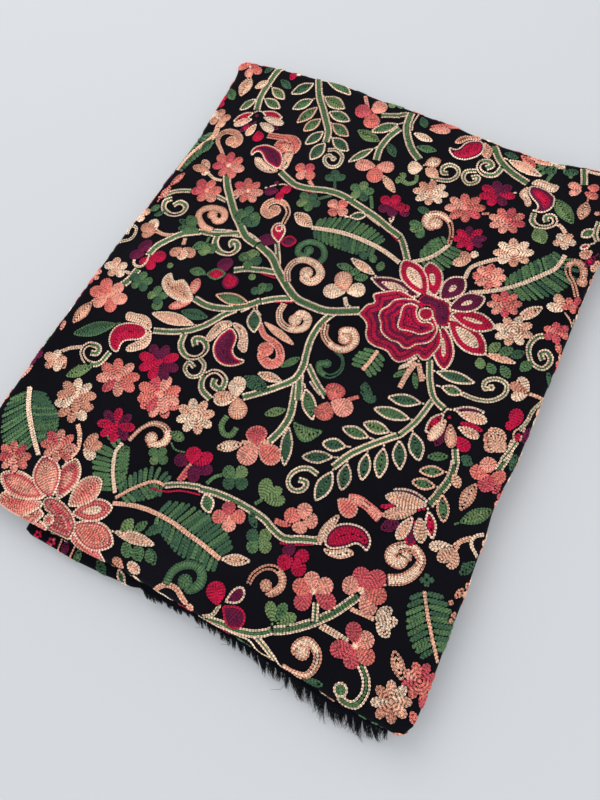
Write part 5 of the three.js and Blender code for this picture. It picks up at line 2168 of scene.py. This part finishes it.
# %% Fibres as slim tubes
def fringe_arrays():
    x, length, lean, curl, gather = (values[:, None] for values in fibre_paths())
    t = np.linspace(0, 1, FIBRE_RINGS)[None]
    root_out = read_table(FLAP_LINE, x) - 1.2
    wave = rng.uniform(0, 6, (FIBRES, 1))
    side = lean * length * t ** 1.3 + curl * length * np.sin(5 * t + wave) * t + gather * t
    out = root_out + 0.8 * length * t
    drop = (0.25 + 0.55 * t) * length * t * rng.uniform(0.5, 1.1, (FIBRES, 1))
    height = np.maximum(ROOT_HEIGHT - drop, LOWEST)
    centre = front_point(x + side, out, height)
    thick = FIBRE_RADIUS * (1 - 0.75 * t) * np.ones((FIBRES, 1))
    along = np.gradient(centre, axis=1)
    along /= np.linalg.norm(along, axis=2)[..., None]
    first = np.cross(along, np.array([0, 0, 1.0]))
    first /= np.maximum(1e-6, np.linalg.norm(first, axis=2))[..., None]
    second = np.cross(along, first)
    ring = []
    for k in range(3):
        turn = 2 * math.pi * k / 3
        ring.append(centre + (first * math.cos(turn) + second * math.sin(turn)) * thick[..., None])
    points = np.stack(ring, 2).reshape(-1, 3)
    faces = [(0, 2, 1)]
    for r in range(FIBRE_RINGS - 1):
        for k in range(3):
            a = r * 3 + k
            b = r * 3 + (k + 1) % 3
            faces += [(a, b, b + 3), (a, b + 3, a + 3)]
    last = 3 * (FIBRE_RINGS - 1)
    faces += [(last, last + 1, last + 2)]
    faces = np.array(faces)
    step = (np.arange(FIBRES) * 3 * FIBRE_RINGS)[:, None, None]
    return points, (faces[None] + step).reshape(-1, 3)


# %% The fringe and its yarn
def fringe_material():
    n = Nodes("fringe_yarn")
    speck = n.noise(n.object_place(), 500, 1)
    n.link(n.ramp(speck, ((0.3, "#050508"), (0.8, "#0E0F16"))), n.shader.inputs["Base Color"])
    n.set(Roughness=0.8, Specular_IOR_Level=0.1)
    return n.material


points, faces = fringe_arrays()
fringe = mesh_object("fringe", to_frame(points), faces)
fringe.data.materials.append(fringe_material())
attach(fringe, "root")
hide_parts("end_fringe")
print("fringe triangles", len(faces))

# %% [markdown]
# ## Embroidery on the second fold
# A few motifs show where the second fold stands out at the front, and their places are
# given. Under it, where only somebody who lifts the pack would look, they are scattered.

# %% The second fold's motifs
second_work = Needlework(320, 140, STITCH)


def second_place(u, v):
    return second_surface_at(u, -v)


SECOND_FLOWERS = (((-95, -25.5), 3.6, "kkkkk"), ((-83.5, -25.5), 3.9, "krkkr"))
SECOND_LEAVES = (
    ((-74, -20), (-70, -30), 6.0, "m"), ((-63, -20), (-59, -31), 5.5, "g"),
    ((-48, -21), (-36, -30), 6.5, "d"), ((-32, -20), (-20, -30), 5.5, "cd"),
)
SECOND_LINES = (
    (((-78, -18), (-77, -24), (-75, -32)), "l"), (((-67, -18), (-66, -24), (-65, -32)), "l"),
)
for centre, radius, colours in SECOND_FLOWERS:
    round_flower(second_work, np.array(centre), radius, 0, colours, "m", 0)
for line, letter in SECOND_LINES:
    second_work.row(smooth(line), letter)
    second_work.close_motif()
for root, tip, width, colours in SECOND_LEAVES:
    fill_form(second_work, root, tip, width, colours, "leaf")
    second_work.close_motif()


def under_second(places):
    u, v = places.T
    return (u > -98) & (u < 20) & (v < -33) & (v > -54)


SECOND_TRIES = 900
scatter(second_work, under_second, np.array([150, 60]), SECOND_TRIES)
second_threads = embroider("second_stitches", second_work.rows, second_place)

# %% [markdown]
# ## Embroidery on the inner folds
# The inner rolls are too narrow for a flower, and on the real shawl only slices of motifs
# show there. Short leaves along each roll give the same broken specks of colour.

# %% Short leaves along the rolls
inner_work = Needlework(RIM_LENGTH, INNER_WALK, LONG_STITCH)
LEAF_LETTERS = ("c", "o", "g", "d", "k", "p")
INNER_TRIES = 2500
INNER_REACH = 2.6


def inner_place(u, v):
    return inner_surface_at(np.clip(u / RIM_LENGTH + 0.5, 0, 1), 0.5 - v / INNER_WALK)


def on_fold(places):
    """True on the outer half of either fold, away from the crease and the recess."""
    u, v = places.T
    x, y, dx, dy = around(np.clip(u / RIM_LENGTH + 0.5, 0, 1))
    outer = np.abs(np.abs(v) - INNER_WALK / 4) < 0.6
    return outer & (np.abs(u) < RIM_LENGTH / 2 - 4) & (dy > -0.85)


for _ in range(2):
    places = rng.uniform(-1, 1, (INNER_TRIES, 2)) * (RIM_LENGTH / 2, INNER_WALK / 2)
    for place in places[on_fold(places)]:
        if inner_work.is_free(place, INNER_REACH):
            way = np.array([rng.choice((-1, 1)) * rng.uniform(2.2, 4.5), 0.3])
            letters = LEAF_LETTERS[int(rng.integers(len(LEAF_LETTERS)))]
            fill_form(inner_work, place - way, place + way, 3.6, letters, "leaf")
            inner_work.close_motif()
print("stitches on the inner folds:", inner_work.count())

# %% [markdown]
# ## Embroidery underneath
# The lowest layer is worked like the top one. It is drawn more freely: winding stems with
# hooks and ferns, listed one by one, and scattered flowers and leaves between them. The stitches
# lie in the space that the wool leaves above the floor.

# %% Stems underneath
bottom_work = Needlework(PACK_WIDTH + 30, PACK_LENGTH + 30, LONG_STITCH)


def bottom_place(u, v):
    return on_bottom(-u, v, 0)


def everywhere(places):
    return np.ones(len(places), bool)


BOTTOM_TRIES = 240
CURL = np.array(((0, 0), (9, 5), (17, 1), (18, -8), (10, -11), (6, -5), (10, -3)), float)
BOTTOM_STEMS = (
    ((-150, -190), (-120, -110), (-60, -60), (-70, 20), (-20, 80), (-30, 150), (10, 195)),
    ((150, -190), (130, -130), (70, -90), (80, -10), (30, 40), (60, 110), (120, 190)),
    ((-165, 30), (-120, 60), (-110, 110), (-150, 170)),
    ((165, 20), (125, 30), (110, 90), (150, 130)),
    ((-30, -195), (0, -150), (-20, -100), (20, -60)),
)
for points in BOTTOM_STEMS:
    fill_band(bottom_work, points, (5, 5), "c", "g")
    bottom_work.close_motif()
    for place in points[1:-1]:
        side = 1 if place[0] < 0 else -1
        hook(bottom_work, np.array(place) + CURL * (side, 1), 5, 10, "pc")
        bottom_work.close_motif()
        ends = np.array(place) - ((0, 0), (12 * side, 8), (26 * side, 10))
        fern(bottom_work, ends, 3, "p", "gd", (11, 11), (0.3, 1.0))
scatter(bottom_work, everywhere, np.array([HALF_WIDTH - 4, HALF_LENGTH - 4]), BOTTOM_TRIES)

# %% The stitches underneath and on the inner folds
bottom_threads = embroider("bottom_stitches", bottom_work.rows, bottom_place, BOTTOM_LIFT)
inner_threads = embroider("inner_stitches", inner_work.rows, inner_place, 0)

# %% [markdown]

# %% [markdown]
# ## Floor and light
# A plain pale floor under soft studio light. Most of the light comes from the sky, as in a
# white tent, and two softboxes give the threads their small shadows. The Standard view keeps
# the black of the wool deep, where a film-like view would lift it to grey.

# %% The floor
clear_selection()
bpy.ops.mesh.primitive_plane_add(size=8, location=(0, 0, 0))
floor = bpy.context.object
floor.name = "floor"
ground = Nodes("floor")
ground.set(Base_Color=(*light_of("#B4B4B4"), 1), Roughness=0.9, Specular_IOR_Level=0.1)
floor.data.materials.append(ground.material)

# %% The sky and two softboxes
world = bpy.data.worlds.new("studio")
bpy.context.scene.world = world
bpy.context.scene.view_settings.view_transform = "Standard"
world.use_nodes = True
sky = world.node_tree.nodes["Background"]
sky.inputs["Color"].default_value = (*light_of("#E4E9F0"), 1)
sky.inputs["Strength"].default_value = 1.32


def softbox(name, place, energy, size):
    clear_selection()
    bpy.ops.object.light_add(type="AREA", location=place)
    lamp = bpy.context.object
    lamp.name = name
    lamp.data.energy = energy
    lamp.data.size = size
    lamp.rotation_euler = (-lamp.location).to_track_quat("-Z", "Y").to_euler()
    return lamp


softbox("softbox_back_left", (-0.7, 0.7, 1.3), 13, 1.2)
softbox("softbox_front", (0.6, -0.9, 1.2), 6, 1.0)

# %% [markdown]
# ## Last measures
# The triangles are counted.

# %% Count
TOTAL = 0
for obj in bpy.data.objects:
    if obj.type == "MESH" and obj.visible_get() and obj.name in bpy.context.view_layer.objects:
        TOTAL += sum(len(p.vertices) - 2 for p in obj.data.polygons)
print("triangles in all:", TOTAL)
